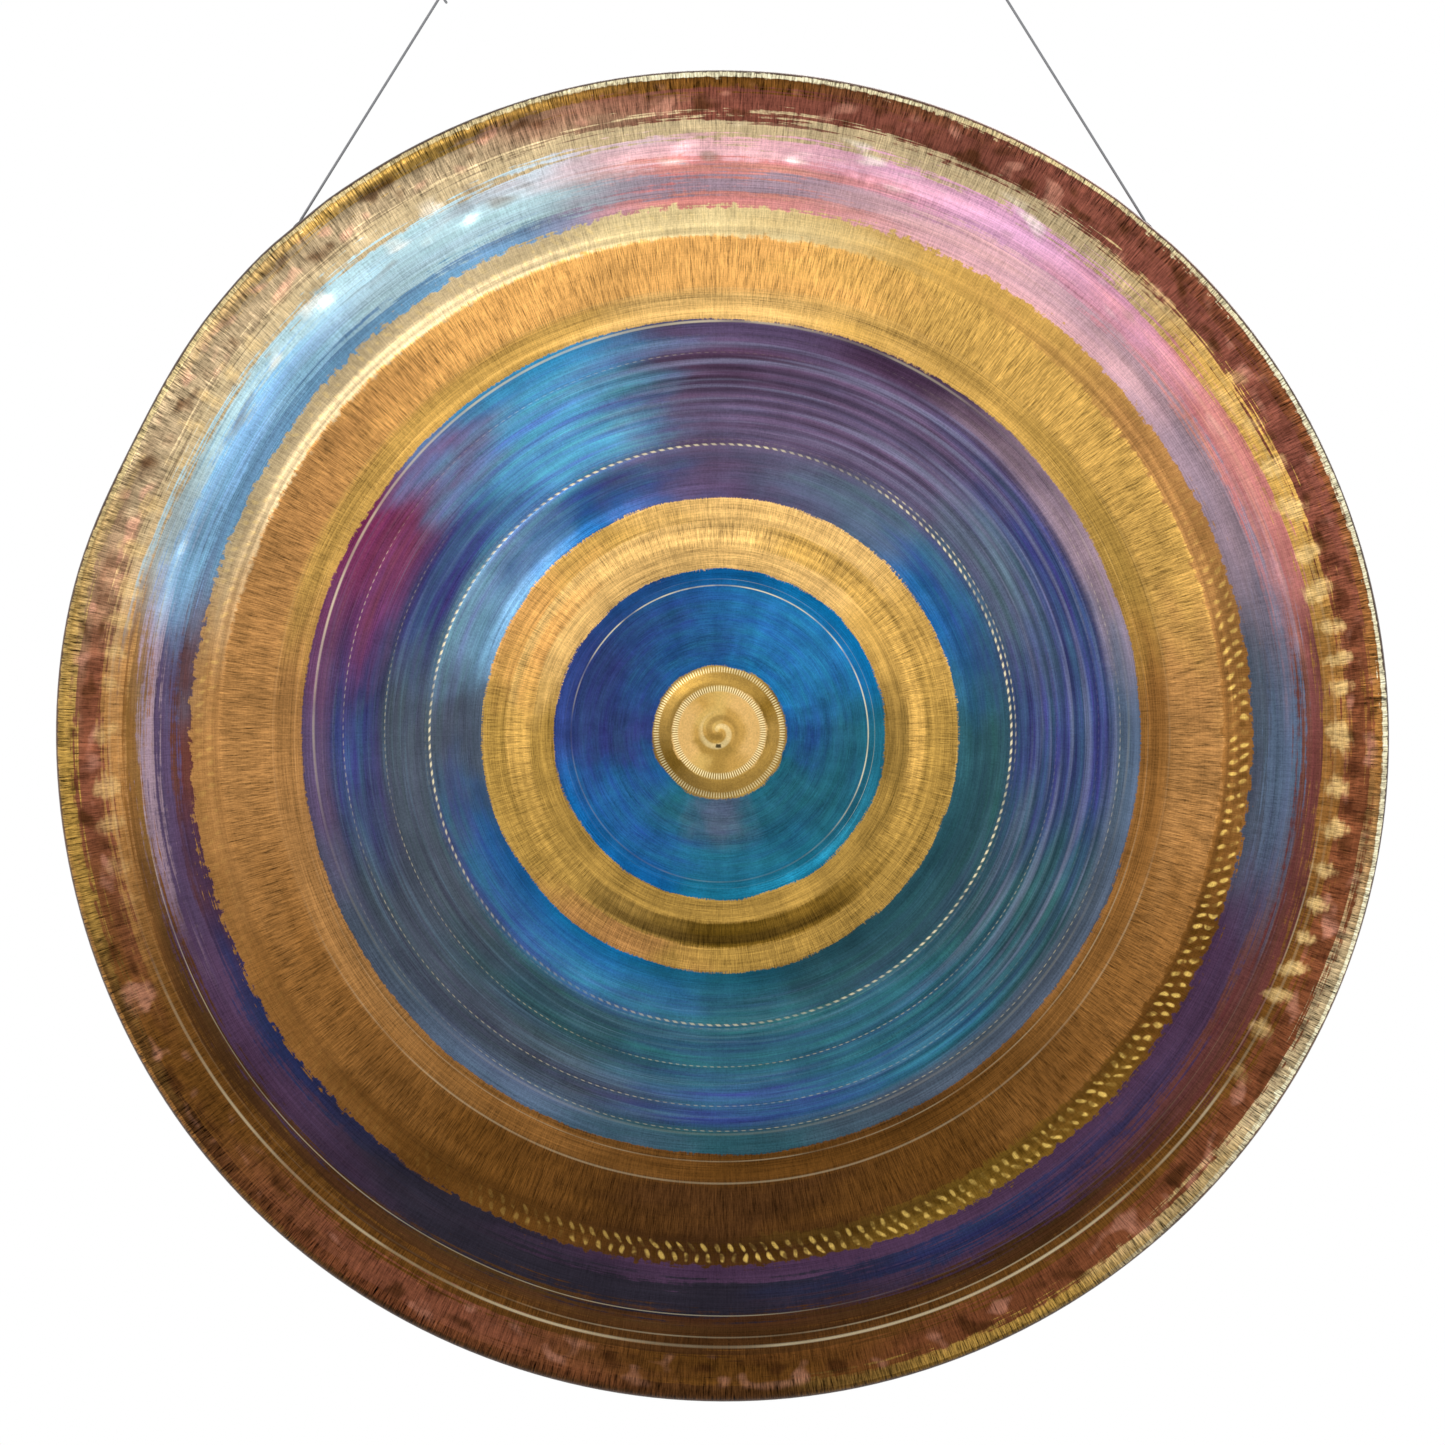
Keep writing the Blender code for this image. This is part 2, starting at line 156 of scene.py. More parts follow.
def add_camera():
    camera = bpy.data.cameras.new("camera")
    camera.sensor_width = 36.0
    camera.lens = camera.sensor_width * CAMERA_DISTANCE / VIEW_WIDTH
    obj = bpy.data.objects.new("camera", camera)
    bpy.context.scene.collection.objects.link(obj)
    obj.location = (0.0, -CAMERA_DISTANCE, GONG.translation.z + CAMERA_RISE)
    obj.rotation_euler = (pi / 2, 0.0, 0.0)
    bpy.context.scene.camera = obj


def add_area_light(name, place, target, size, watts):
    light = bpy.data.lights.new(name, "AREA")
    light.shape = "DISK"
    light.size = size
    light.energy = watts
    obj = bpy.data.objects.new(name, light)
    bpy.context.scene.collection.objects.link(obj)
    obj.location = place
    obj.rotation_euler = (Vector(target) - Vector(place)).to_track_quat("-Z", "Y").to_euler()


def add_world():
    world = bpy.data.worlds.new("studio")
    bpy.context.scene.world = world
    world.use_nodes = True
    nodes, links = world.node_tree.nodes, world.node_tree.links
    nodes.clear()
    path = nodes.new("ShaderNodeLightPath")
    seen = path.outputs["Is Camera Ray"]
    for ray in ("Is Glossy Ray", "Is Transmission Ray"):
        either = nodes.new("ShaderNodeMath")
        either.operation = "MAXIMUM"
        links.new(seen, either.inputs[0])
        links.new(path.outputs[ray], either.inputs[1])
        seen = either.outputs[0]
    mix = nodes.new("ShaderNodeMixShader")
    output = nodes.new("ShaderNodeOutputWorld")
    links.new(seen, mix.inputs[0])
    for socket, strength in ((1, SOFT_LIGHT), (2, 1.0)):
        white = nodes.new("ShaderNodeBackground")
        white.inputs["Color"].default_value = (1.0, 1.0, 1.0, 1.0)
        white.inputs["Strength"].default_value = strength
        links.new(white.outputs[0], mix.inputs[socket])
    links.new(mix.outputs[0], output.inputs["Surface"])


def add_floor():
    """A pale round floor well below the gong that fades out at its edge."""
    radius = 1.25
    bm = bmesh.new()
    bmesh.ops.create_circle(bm, cap_ends=True, radius=radius, segments=96)
    mesh = bpy.data.meshes.new("floor")
    bm.to_mesh(mesh)
    bm.free()
    floor = bpy.data.objects.new("floor", mesh)
    floor.location = (0.0, 0.0, cad_box[0][2] - 0.30)
    bpy.context.scene.collection.objects.link(floor)
    paint = Paint("floor")
    where = paint.node("ShaderNodeTexCoord").outputs["Object"]
    away = paint.node("ShaderNodeVectorMath", {0: where}, operation="LENGTH").outputs["Value"]
    fade = paint.smooth(away, radius * 0.45, radius * 0.98)
    paint.shader.inputs["Base Color"].default_value = (0.9, 0.9, 0.9, 1.0)
    paint.shader.inputs["Roughness"].default_value = 0.9
    clear = paint.node("ShaderNodeBsdfTransparent")
    blend = paint.node("ShaderNodeMixShader", {0: fade, 1: paint.shader.outputs[0], 2: clear.outputs[0]})
    paint.links.new(blend.outputs[0], paint.output.inputs["Surface"])
    mesh.materials.append(paint.material)


# ---------------------------------------------------------------- node graph helper

def linear(digits):
    """Linear colour of a six-digit sRGB value."""
    value = [int(digits[k:k + 2], 16) / 255 for k in (0, 2, 4)]
    low = [c / 12.92 for c in value]
    high = [((c + 0.055) / 1.055) ** 2.4 for c in value]
    return [a if c <= 0.04045 else b for a, b, c in zip(low, high, value)] + [1.0]


class Paint:
    """One material's node graph."""

    def __init__(self, name):
        self.material = bpy.data.materials.new(name)
        self.material.use_nodes = True
        self.nodes = self.material.node_tree.nodes
        self.links = self.material.node_tree.links
        self.shader = self.nodes["Principled BSDF"]
        self.output = self.nodes["Material Output"]

    def node(self, kind, inputs=None, **settings):
        node = self.nodes.new(kind)
        for key, value in settings.items():
            setattr(node, key, value)
        for socket, value in (inputs or {}).items():
            self.feed(node.inputs[socket], value)
        return node

    def feed(self, socket, value):
        if isinstance(value, bpy.types.NodeSocket):
            self.links.new(value, socket)
        else:
            socket.default_value = value

    def math(self, operation, a, b=0.0, clamp=False):
        return self.node("ShaderNodeMath", {0: a, 1: b}, operation=operation, use_clamp=clamp).outputs[0]

    def smooth(self, value, low, high, out_low=0.0, out_high=1.0):
        inputs = {"Value": value, "From Min": low, "From Max": high, "To Min": out_low, "To Max": out_high}
        node = self.node("ShaderNodeMapRange", inputs, interpolation_type="SMOOTHSTEP")
        return node.outputs["Result"]

    def spread(self, value, low, high, out_low, out_high):
        inputs = {"Value": value, "From Min": low, "From Max": high, "To Min": out_low, "To Max": out_high}
        return self.node("ShaderNodeMapRange", inputs).outputs["Result"]

    def mix(self, factor, a, b, blend="MIX"):
        node = self.node("ShaderNodeMix", data_type="RGBA", blend_type=blend, clamp_factor=True)
        for socket, value in ((0, factor), (6, a), (7, b)):
            self.feed(node.inputs[socket], value)
        return node.outputs[2]

    def tint(self, color, tone, *amounts):
        """The colour mixed towards a tone by the product of the amounts."""
        return self.mix(product(self, *amounts), color, linear(tone))

    def shade(self, color, value):
        return self.mix(1.0, color, value, "MULTIPLY")

    def finish(self, color, roughness, height, strength, distance, metallic=1.0):
        bump = self.node("ShaderNodeBump", {"Strength": strength, "Distance": distance, "Height": height})
        self.feed(self.shader.inputs["Base Color"], color)
        self.feed(self.shader.inputs["Normal"], bump.outputs[0])
        self.feed(self.shader.inputs["Roughness"], roughness)
        self.shader.inputs["Metallic"].default_value = metallic
        return self.material

    def vector(self, x, y, z):
        return self.node("ShaderNodeCombineXYZ", {0: x, 1: y, 2: z}).outputs[0]

    def noise(self, vector, scale=1.0, detail=2.0, roughness=0.5):
        inputs = {"Vector": vector, "Scale": scale, "Detail": detail, "Roughness": roughness}
        return self.node("ShaderNodeTexNoise", inputs, noise_dimensions="3D").outputs["Fac"]

    def varied(self, vector, low, high, out_low, out_high, **settings):
        """Noise with its values from low to high spread over the given range."""
        return self.spread(self.noise(vector, **settings), low, high, out_low, out_high)

    def ramp(self, value, colors):
        """Colours spaced evenly over 0 to 1, the first one repeated at the end."""
        node = self.node("ShaderNodeValToRGB", {"Fac": value})
        node.color_ramp.interpolation = "EASE"
        elements = node.color_ramp.elements
        stops = list(colors) + [colors[0]]
        elements[0].position, elements[0].color = 0.0, stops[0]
        elements[1].position, elements[1].color = 1.0, stops[-1]
        for k, color in enumerate(stops[1:-1], start=1):
            elements.new(k / (len(stops) - 1)).color = color
        return node.outputs["Color"]


# ---------------------------------------------------------------- heat colour, painted reflection and painted shade of the gong's face

PATINA_AND_PAINTED_LIGHT = {
    "cream": "e4dab6", "pale": "cdb886", "sand": "cda95f", "honey": "d8ae6a", "gold": "c0974e",
    "brass": "a5823f", "dull": "8c6e36", "olive": "755820", "moss": "5e4614", "amber": "cf9a56",
    "bronze": "a07342", "tan": "83592c", "brown": "5f3d18", "umber": "482d16", "chestnut": "6c3e26",
    "copper": "7a4833", "brick": "6c3d31", "rosewood": "5e342e", "salmon": "c27a72", "blush": "d6a4a8",
    "pink": "cb95b4", "mauve": "98808c", "plum": "463048", "wine": "742a52", "dusk": "564664",
    "sky": "7cb0d6", "ice": "a4c2ca", "steel": "6690b0", "slate": "4c5c72", "smoke": "424c5a",
    "azure": "0d6aa0", "cobalt": "105890", "blue": "164f82", "royal": "20487e", "indigo": "2a3a70",
    "navy": "242a4e", "ink": "28242e", "teal": "15607a", "sea": "1c5c70", "pine": "264c56", "cyan": "2e8cba",
    "drab": "85745a", "fawn": "b09c78",
}

# Each ring of colour: outer radius in mm, edge blur in mm, how much it shows radial and
# concentric brushing, and its colours every 30 degrees clockwise from the top. The colours are
# heat colour mixed with painted reflection and shade: most rings are darker over the lower half,
# and the pink and rose at the top and upper right and the pale sky and ice at the upper left of
# the outer blue rings are painted reflection.
COLOR_RINGS = (
    (16, 5, 0.0, 0.1, "sand gold gold gold gold brass brass brass brass gold sand sand"),
    (28.5, 1.2, 0.05, 0.2, "sand honey honey honey honey gold brass sand honey honey honey gold"),
    (40.5, 0.9, 0.5, 0.3, "brass brass olive dull brass brass brass dull olive dull dull brass"),
    (66, 18, 0.1, 0.8, "blue azure azure blue sea sea slate sea blue indigo royal blue"),
    (100, 0.9, 0.1, 0.8, "cobalt azure azure sea sea teal teal cobalt cobalt indigo indigo royal"),
    (114, 3, 0.5, 1.1, "honey honey gold dull brass brass brass brass brass brass honey honey"),
    (124, 5, 1.3, 0.4, "honey gold gold gold brass olive moss dull brass gold amber honey"),
    (129, 2, 1.3, 0.7, "honey gold gold brass brass olive moss dull brass gold honey honey"),
    (143.5, 1.0, 1.0, 1.0, "honey honey gold brass brass brass brass bronze brass brass amber gold"),
    (176, 14, 0.15, 0.7, "dusk slate blue pine pine pine sea azure blue smoke steel blue"),
    (209, 18, 0.15, 0.8, "dusk dusk slate indigo pine sea sea pine smoke smoke indigo cyan"),
    (236, 10, 0.15, 0.9, "plum dusk indigo indigo pine teal royal smoke smoke indigo wine cyan"),
    (252.5, 0.9, 0.2, 0.8, "dusk plum mauve slate smoke smoke pine slate smoke dusk wine cyan"),
    (270, 8, 0.5, 1.1, "honey gold brass tan tan brown brown tan bronze bronze gold gold"),
    (303, 3, 1.25, 0.3, "amber gold gold bronze tan brown umber brown tan bronze bronze amber"),
    (321, 1.3, 0.5, 0.5, "pale gold bronze tan brown olive umber brown tan bronze fawn fawn"),
    (331, 5, 0.3, 0.8, "salmon blush mauve smoke plum plum plum ink navy rosewood steel steel"),
    (342, 5, 0.3, 0.8, "mauve blush mauve slate plum navy ink ink plum dusk sky ice"),
    (351, 6, 0.3, 0.8, "salmon pink salmon slate rosewood plum ink ink plum mauve sky ice"),
    (363, 4, 0.3, 0.8, "blush pink salmon rosewood rosewood umber umber umber umber tan ice ice"),
    (375.5, 2.5, 0.9, 0.6, "fawn fawn gold tan brown brown umber brown brown bronze fawn fawn"),
    (393, 3, 1.1, 0.4, "brick brick brick chestnut chestnut chestnut brown copper brown copper drab drab"),
    (400.5, 1.5, 1.9, 0.0, "brown brick chestnut tan fawn brass umber chestnut umber brass drab dull"),
    # The cream of this last face ring at the top and right is a painted highlight along the rim's bend
    (404.2, 0.8, 1.9, 0.0, "cream pale cream cream cream olive umber umber tan brass pale pale"),
    (470, 1.0, 0.5, 0.3, "umber chestnut umber umber brown umber umber umber umber brown umber umber"),
)

# Thin light grooves: radius in mm, drift of the radius, half width in mm, dashes a turn, strength,
# and the direction and half width in degrees of the sector where each is clear
GROOVES = (
    (89.6, 0.0, 0.60, 0, 0.80, 30, 120),
    (93.5, 0.0, 0.25, 0, 0.25, 60, 90),
    (175.6, 0.3, 0.95, 210, 0.95, 30, 200),
    (178.2, 0.6, 0.60, 210, 0.55, 60, 40),
    (202.8, 2.5, 0.45, 300, 0.30, 200, 120),
    (228.0, 4.0, 0.45, 300, 0.32, 250, 130),
    (241.0, 2.0, 0.45, 300, 0.30, 150, 110),
    (246.0, 5.0, 1.10, 0, 0.62, 330, 75),
    (257.5, 0.6, 0.60, 0, 0.22, 170, 90),
    (270.5, 0.4, 0.90, 0, 0.20, 170, 90),
    (352.3, 1.5, 0.50, 0, 0.30, 215, 60),
    (370.8, 1.0, 1.30, 0, 0.50, 180, 75),
    (365.5, 1.5, 0.70, 0, 0.30, 150, 60),
)


PEEN_MARKS = 261                             # punch marks in each of the two rows
RIM_BLOWS = 96
RIPPLE_PITCH = 6.8                           # mm between ripples of the blue field
RIDGE_PITCH = 5.3                            # mm between turned ridges of the first gold ring


def polar_nodes(paint):
    """Turn (0 to 1), radius in mm, and a function for seamless noise coordinates round the gong."""
    uv = paint.node("ShaderNodeUVMap", uv_map="polar").outputs[0]
    split = paint.node("ShaderNodeSeparateXYZ", {0: uv})
    turn = split.outputs[0]
    radius = paint.math("MULTIPLY", split.outputs[1], GONG_RADIUS * 1000)
    angle = paint.math("MULTIPLY", turn, 2 * pi)
    cosine = paint.math("COSINE", angle)
    sine = paint.math("SINE", angle)

    def around(features, per_mm):
        """Noise coordinates with about so many features a turn and per mm of radius."""
        reach = features / (2 * pi)
        x = paint.math("MULTIPLY", cosine, reach)
        y = paint.math("MULTIPLY", sine, reach)
        return paint.vector(x, y, paint.math("MULTIPLY", radius, per_mm))

    return turn, radius, cosine, around


def mix_number(paint, factor, a, b):
    node = paint.node("ShaderNodeMix", data_type="FLOAT")
    for socket, value in ((0, factor), (2, a), (3, b)):
        paint.feed(node.inputs[socket], value)
    return node.outputs[0]


def sector(paint, turn, middle, half):
    """1 inside a sector of the gong, given in degrees clockwise from the top, with soft sides."""
    moved = paint.math("FRACT", paint.math("ADD", turn, 1.5 - middle / 360))
    away = paint.math("ABSOLUTE", paint.math("SUBTRACT", moved, 0.5))
    return paint.smooth(away, half / 360, half * 0.55 / 360)


def belt(paint, radius, middle, half):
    """1 within a belt of radii in mm, with soft sides."""
    away = paint.math("ABSOLUTE", paint.math("SUBTRACT", radius, middle))
    return paint.smooth(away, half, half * 0.4)


def product(paint, *values):
    result = values[0]
    for value in values[1:]:
        result = paint.math("MULTIPLY", result, value)
    return result


def total(paint, *values):
    result = values[0]
    for value in values[1:]:
        result = paint.math("ADD", result, value)
    return result


def painted_rings(paint, shifted, turned):
    """Colour of the rings, heat colour with painted reflection and shade in it, and how much radial and
    concentric brushing shows on each.
    """
    color = radial = concentric = inner = None
    for edge, blur, ring_radial, ring_concentric, names in COLOR_RINGS:
        ring = paint.ramp(turned, [linear(PATINA_AND_PAINTED_LIGHT[name]) for name in names.split()])
        if color is None:
            color, radial, concentric = ring, ring_radial, ring_concentric
        else:
            step = paint.smooth(shifted, inner[0] - inner[1] / 2, inner[0] + inner[1] / 2)
            color = paint.mix(step, color, ring)
            radial = mix_number(paint, step, radial, ring_radial)
            concentric = mix_number(paint, step, concentric, ring_concentric)
        inner = (edge, blur)
    return color, radial, concentric


def brushing_of(paint, around, radial_weight, concentric_weight):
    """Light and dark of the brush strokes and turning lines, about 1."""
    fine = paint.varied(around(3000, 0.10), 0.25, 0.75, -0.60, 0.60, roughness=0.65)
    coarse = paint.varied(around(640, 0.07), 0.3, 0.7, -0.10, 0.10)
    lines = paint.varied(around(26, 1.7), 0.25, 0.75, -0.42, 0.42, detail=3.0, roughness=0.7)
    bands = paint.varied(around(5, 0.13), 0.3, 0.7, -0.24, 0.24)
    radial = product(paint, total(paint, fine, coarse), radial_weight)
    concentric = product(paint, total(paint, lines, bands), concentric_weight)
    place = paint.node("ShaderNodeTexCoord").outputs["Object"]
    grain = paint.varied(place, 0.25, 0.75, -0.16, 0.16, scale=900.0)
    return total(paint, radial, concentric, grain, 1.0)


def hammer_marks_and_glints(paint, turn, radius, around, color):
    """The two rows of peen marks on the bright ring and the bold blows round the rim, with painted highlights
    and shade on the marks, the blows and the dents of the upper face.
    """
    chain = total(paint, 0.03, product(paint, sector(paint, turn, 135, 78), 0.80),
                  product(paint, sector(paint, turn, 310, 60), 0.18))
    uneven = paint.smooth(paint.noise(around(170, 0.16), detail=2.0), 0.38, 0.6, 0.1, 1.0)
    for row, middle in enumerate((309.5, 316.0)):
        away = product(paint, paint.math("SUBTRACT", radius, middle), 1 / 3.6)
        bulge = product(paint, away, away)
        slant = product(paint, away, 1.2)
        jitter = paint.varied(around(90, 0.1), 0.3, 0.7, -1.5, 1.5, detail=1.0)
        phase = total(paint, paint.math("MULTIPLY", turn, 2 * pi * PEEN_MARKS), slant, jitter, row * pi)
        wave = paint.math("COSINE", phase)
        near = product(paint, belt(paint, radius, middle, 4.2), chain)
        blob = paint.math("SUBTRACT", wave, bulge)
        bright = product(paint, paint.smooth(blob, 0.0, 0.85), near, uneven)
        dark = product(paint, paint.smooth(wave, 0.1, -0.9), near, uneven, 0.6)
        # Painted shade and highlight of the punch marks: dark brown between the marks and bright gold on them
        color = paint.tint(color, "4a3006", dark)
        color = paint.tint(color, "e9c468", bright, 0.85)
    wobble = paint.varied(around(20, 0.01), 0.3, 0.7, -3.2, 3.2)
    drift = paint.varied(around(60, 0.01), 0.3, 0.7, -4.0, 4.0, detail=1.0)
    ragged = paint.varied(around(300, 0.35), 0.3, 0.7, -0.5, 0.5)
    patchy = paint.varied(around(34, 0.05), 0.3, 0.7, -0.75, 0.35, detail=1.0)
    bold = total(paint, sector(paint, turn, 88, 42), product(paint, sector(paint, turn, 285, 34), 0.6))
    # The bold blows round the rim: dark brown blotches in the blows, with pale gold painted highlights beside
    # them
    for middle, reach, lag, tone in ((385.0, 9.0, pi, "3c1d10"), (373.0, 10.0, 0.0, "d3b276")):
        phase = total(paint, paint.math("MULTIPLY", turn, 2 * pi * RIM_BLOWS), wobble, lag)
        away = product(paint, total(paint, radius, drift, -middle), 1 / reach)
        blob = total(paint, paint.math("COSINE", phase), ragged, patchy, product(paint, away, away, -1.0))
        color = paint.tint(color, tone, paint.smooth(blob, -0.3, 1.1), bold, 0.7)
    spots = paint.noise(around(120, 0.075), detail=1.0)
    rim = belt(paint, radius, 386.0, 13.0)
    color = paint.tint(color, "3f2410", paint.smooth(spots, 0.55, 0.72), rim, 0.8)
    color = paint.tint(color, "c98f78", paint.smooth(spots, 0.42, 0.28), rim, 0.35)
    # Painted shade and painted reflection on the dents of the upper face: grey-brown shade and near-white
    # reflections
    dents = paint.noise(around(70, 0.09), detail=1.0)
    upper = product(paint, belt(paint, radius, 358.0, 16.0), sector(paint, turn, 350, 75))
    color = paint.tint(color, "7a6a58", paint.smooth(dents, 0.6, 0.75), upper, 0.6)
    return paint.tint(color, "f4ecdd", paint.smooth(dents, 0.4, 0.25), upper, 0.5)


def boss_marks(paint, turn, radius, color):
    """A soft swirl and a small dark dot at the middle, and bright ticks round the boss's edge."""
    spiral = paint.math("SINE", total(paint, product(paint, turn, 2 * pi), product(paint, radius, -0.55)))
    swirl = belt(paint, radius, 6.5, 7.0)
    color = paint.tint(color, "8a6a30", paint.smooth(spiral, 0.2, 0.9), swirl, 0.55)
    color = paint.tint(color, "fbe9b0", paint.smooth(spiral, -0.3, -0.9), swirl, 0.4)
    dot = product(paint, belt(paint, radius, 8.5, 1.6), sector(paint, turn, 182, 14))
    color = paint.tint(color, "1e1608", dot, 0.9)
    for middle, half, count, strength in ((26.5, 2.4, 118, 0.75), (38.0, 2.2, 150, 0.45)):
        ticks = paint.smooth(paint.math("COSINE", product(paint, turn, 2 * pi * count)), -0.5, 0.6)
        near = belt(paint, radius, middle, half)
        color = paint.tint(color, "fff0bc", near, ticks, strength)
        gaps = product(paint, near, paint.math("SUBTRACT", 1.0, ticks), strength, 0.7)
        color = paint.tint(color, "6f5320", gaps)
    return color


def grey_arcs(paint, turn, radius, around, color):
    """Long pale grey-blue streaks along the blue rings, stronger on the right side."""
    arcs = paint.smooth(paint.noise(around(7, 0.20), detail=2.0), 0.48, 0.66)
    zone = product(paint, belt(paint, radius, 214.0, 42.0), sector(paint, turn, 60, 100))
    color = paint.tint(color, "8f93b0", arcs, zone, 0.34)
    arcs = paint.smooth(paint.noise(around(9, 0.33), detail=2.0), 0.55, 0.72)
    zone = product(paint, belt(paint, radius, 205.0, 55.0), sector(paint, turn, 230, 150))
    return paint.tint(color, "6f8fa4", arcs, zone, 0.20)


def bright_groove_lines(paint, turn, radius, cosine, around, color):
    """Thin bright turned grooves, some of them dashed like rope; gives the colour and the depth."""
    depth = 0.0
    # A noise that fades the bright lines in and out round the gong
    line_fade = paint.smooth(paint.noise(around(24, 0.05), detail=3.0), 0.3, 0.62, 0.25, 1.0)
    for middle, drift, half, dashes, strength, facing, width in GROOVES:
        centre = total(paint, product(paint, cosine, drift), middle)
        offset = paint.math("SUBTRACT", radius, centre)
        line = paint.smooth(paint.math("ABSOLUTE", offset), half, half * 0.2)
        if dashes:
            phase = total(paint, paint.math("MULTIPLY", turn, 2 * pi * dashes), product(paint, offset, 1.3))
            line = product(paint, line, paint.smooth(paint.math("SINE", phase), -0.6, 0.6, 0.1, 1.0))
        clear = total(paint, product(paint, sector(paint, turn, facing, width), 0.88), 0.12)
        line = product(paint, line, line_fade, clear)
        color = paint.tint(color, "eadcb6", line, strength)
        depth = total(paint, depth, product(paint, line, -0.25))
    return color, depth


def face_material():
    """Rings of heat colour over brushed, turned and hammered bronze, with painted reflection, highlights and
    shade, and a painted shadow in the groove at the bottom of the first gold ring.
    """
    paint = Paint("heat_coloured_bronze_and_painted_light")
    turn, radius, cosine, around = polar_nodes(paint)
    wander = paint.varied(around(14, 0.02), 0.0, 1.0, -2.0, 2.0, detail=3.0)
    fringe = paint.varied(around(900, 0.3), 0.3, 0.7, -0.55, 0.55)
    streaks = paint.varied(around(30, 0.55), 0.2, 0.8, -1.0, 1.0, detail=3.0, roughness=0.65)
    ragged = paint.varied(around(420, 0.20), 0.25, 0.75, -1.0, 1.0, detail=3.0, roughness=0.6)
    outer = paint.smooth(radius, 318.0, 332.0, 1.2, 11.0)
    streaks = product(paint, streaks, outer, paint.smooth(radius, 402.0, 386.0, 0.1, 1.0))
    ragged = product(paint, ragged, paint.smooth(radius, 262.0, 300.0, 0.2, 2.6))
    ragged = product(paint, ragged, paint.smooth(radius, 402.0, 396.0, 0.1, 1.0))
    shifted = total(paint, radius, wander, fringe, streaks, ragged)
    blotch = paint.varied(around(26, 0.06), 0.0, 1.0, -0.045, 0.045, detail=3.0)
    turned = paint.math("FRACT", total(paint, turn, blotch, 1.0))
    color, radial, concentric = painted_rings(paint, shifted, turned)
    patches = paint.noise(around(40, 0.035), detail=4.0, roughness=0.55)
    patches = mix_number(paint, paint.smooth(radius, 26.0, 46.0), 0.5, patches)
    color = paint.shade(color, paint.spread(patches, 0.25, 0.75, 0.78, 1.22))
    # Painted light and shade of the turned ripples on the right of the blue field
    spiral = total(paint, product(paint, radius, 2 * pi / RIPPLE_PITCH), product(paint, turn, 2 * pi))
    ripple = paint.math("SINE", spiral)
    painted_ripple_shade = product(paint, belt(paint, radius, 214.0, 40.0), sector(paint, turn, 70, 110), 0.28)
    color = paint.shade(color, total(paint, product(paint, ripple, painted_ripple_shade), 1.0))
    bands = paint.noise(around(16, 0.22), detail=3.0, roughness=0.6)
    outer_blue = product(paint, belt(paint, radius, 342.0, 24.0), 0.4)
    inner_blue = product(paint, belt(paint, radius, 66.0, 34.0), 0.4)
    blue = total(paint, belt(paint, radius, 198.0, 60.0), outer_blue, inner_blue)
    shift = product(paint, paint.spread(bands, 0.3, 0.7, -0.04, 0.04), blue)
    calm = total(paint, product(paint, blue, -0.12), 1.0)
    hues = {"Hue": total(paint, shift, 0.5), "Saturation": calm, "Color": color}
    color = paint.node("ShaderNodeHueSaturation", hues).outputs["Color"]
    shadow = product(paint, belt(paint, radius, 124.0, 3.6), sector(paint, turn, 180, 48), 0.6)
    color = paint.tint(color, "3a2a10", shadow)
    # Painted light and shade of turned ridges across the first gold ring, as bands of lighter and darker
    # colour
    ridge = paint.math("SINE", product(paint, radius, 2 * pi / RIDGE_PITCH))
    painted_ridge_shade = product(paint, belt(paint, radius, 121.0, 24.0), 0.10)
    color = paint.shade(color, total(paint, product(paint, ridge, painted_ridge_shade), 1.0))
    color = grey_arcs(paint, turn, radius, around, color)
    brushing = brushing_of(paint, around, radial, concentric)
    color = boss_marks(paint, turn, radius, color)
    color = hammer_marks_and_glints(paint, turn, radius, around, color)
    color = paint.shade(color, brushing)
    color, depth = bright_groove_lines(paint, turn, radius, cosine, around, color)
    height = total(paint, product(paint, brushing, 0.12), depth)
    roughness = paint.spread(brushing, 0.5, 1.5, 0.46, 0.32)
    paint.finish(color, roughness, height, 0.35, 0.0006)
    paint.shader.inputs["Anisotropic"].default_value = 0.3
    tangent = paint.node("ShaderNodeTangent", direction_type="UV_MAP", uv_map="polar")
    paint.feed(paint.shader.inputs["Tangent"], tangent.outputs[0])
    return paint.material


def back_material():
    """Raw hammered bronze, brown with lighter peen marks and turning lines."""
    paint = Paint("raw_bronze_back")
    _, radius, _, around = polar_nodes(paint)
    place = paint.node("ShaderNodeTexCoord").outputs["Object"]
    cloud = paint.noise(place, scale=11.0, detail=5.0, roughness=0.6)
    lines = paint.noise(around(14, 1.2), detail=3.0, roughness=0.6)
    marks = paint.node("ShaderNodeTexVoronoi", {"Vector": place, "Scale": 85.0})
    color = paint.mix(paint.smooth(cloud, 0.3, 0.7), linear("5a3d20"), linear("8d6a36"))
    color = paint.mix(paint.smooth(cloud, 0.6, 0.8, 0.0, 0.5), color, linear("4a3a44"))
    lines = mix_number(paint, paint.smooth(radius, 15.0, 60.0), 0.5, lines)
    color = paint.shade(color, paint.spread(lines, 0.25, 0.75, 0.8, 1.2))
    color = paint.shade(color, paint.smooth(marks.outputs["Distance"], 0.1, 0.7, 1.12, 0.85))
    height = paint.math("ADD", paint.math("MULTIPLY", marks.outputs["Distance"], -0.5),
                        paint.math("MULTIPLY", lines, 0.15))
    roughness = paint.spread(cloud, 0.3, 0.7, 0.5, 0.36)
    return paint.finish(color, roughness, height, 0.5, 0.0012)


# ---------------------------------------------------------------- the gong's mesh

COARSE = 240                                 # points a turn inside the outer ring and on the back
FINE = 960                                   # points a turn on the hammered outer rings
FINE_FROM = 0.290
CENTRE_STEP = 0.0015
FACE_STEP = 0.0033
RIM_STEP = 0.0022


def smoothstep(value, low, high):
    t = np.clip((value - low) / (high - low), 0.0, 1.0)
    return t * t * (3 - 2 * t)


def angle_away(theta, degrees):
    """Signed angle in degrees from a direction given clockwise from the top."""
    return (np.degrees(theta) - degrees + 180.0) % 360.0 - 180.0


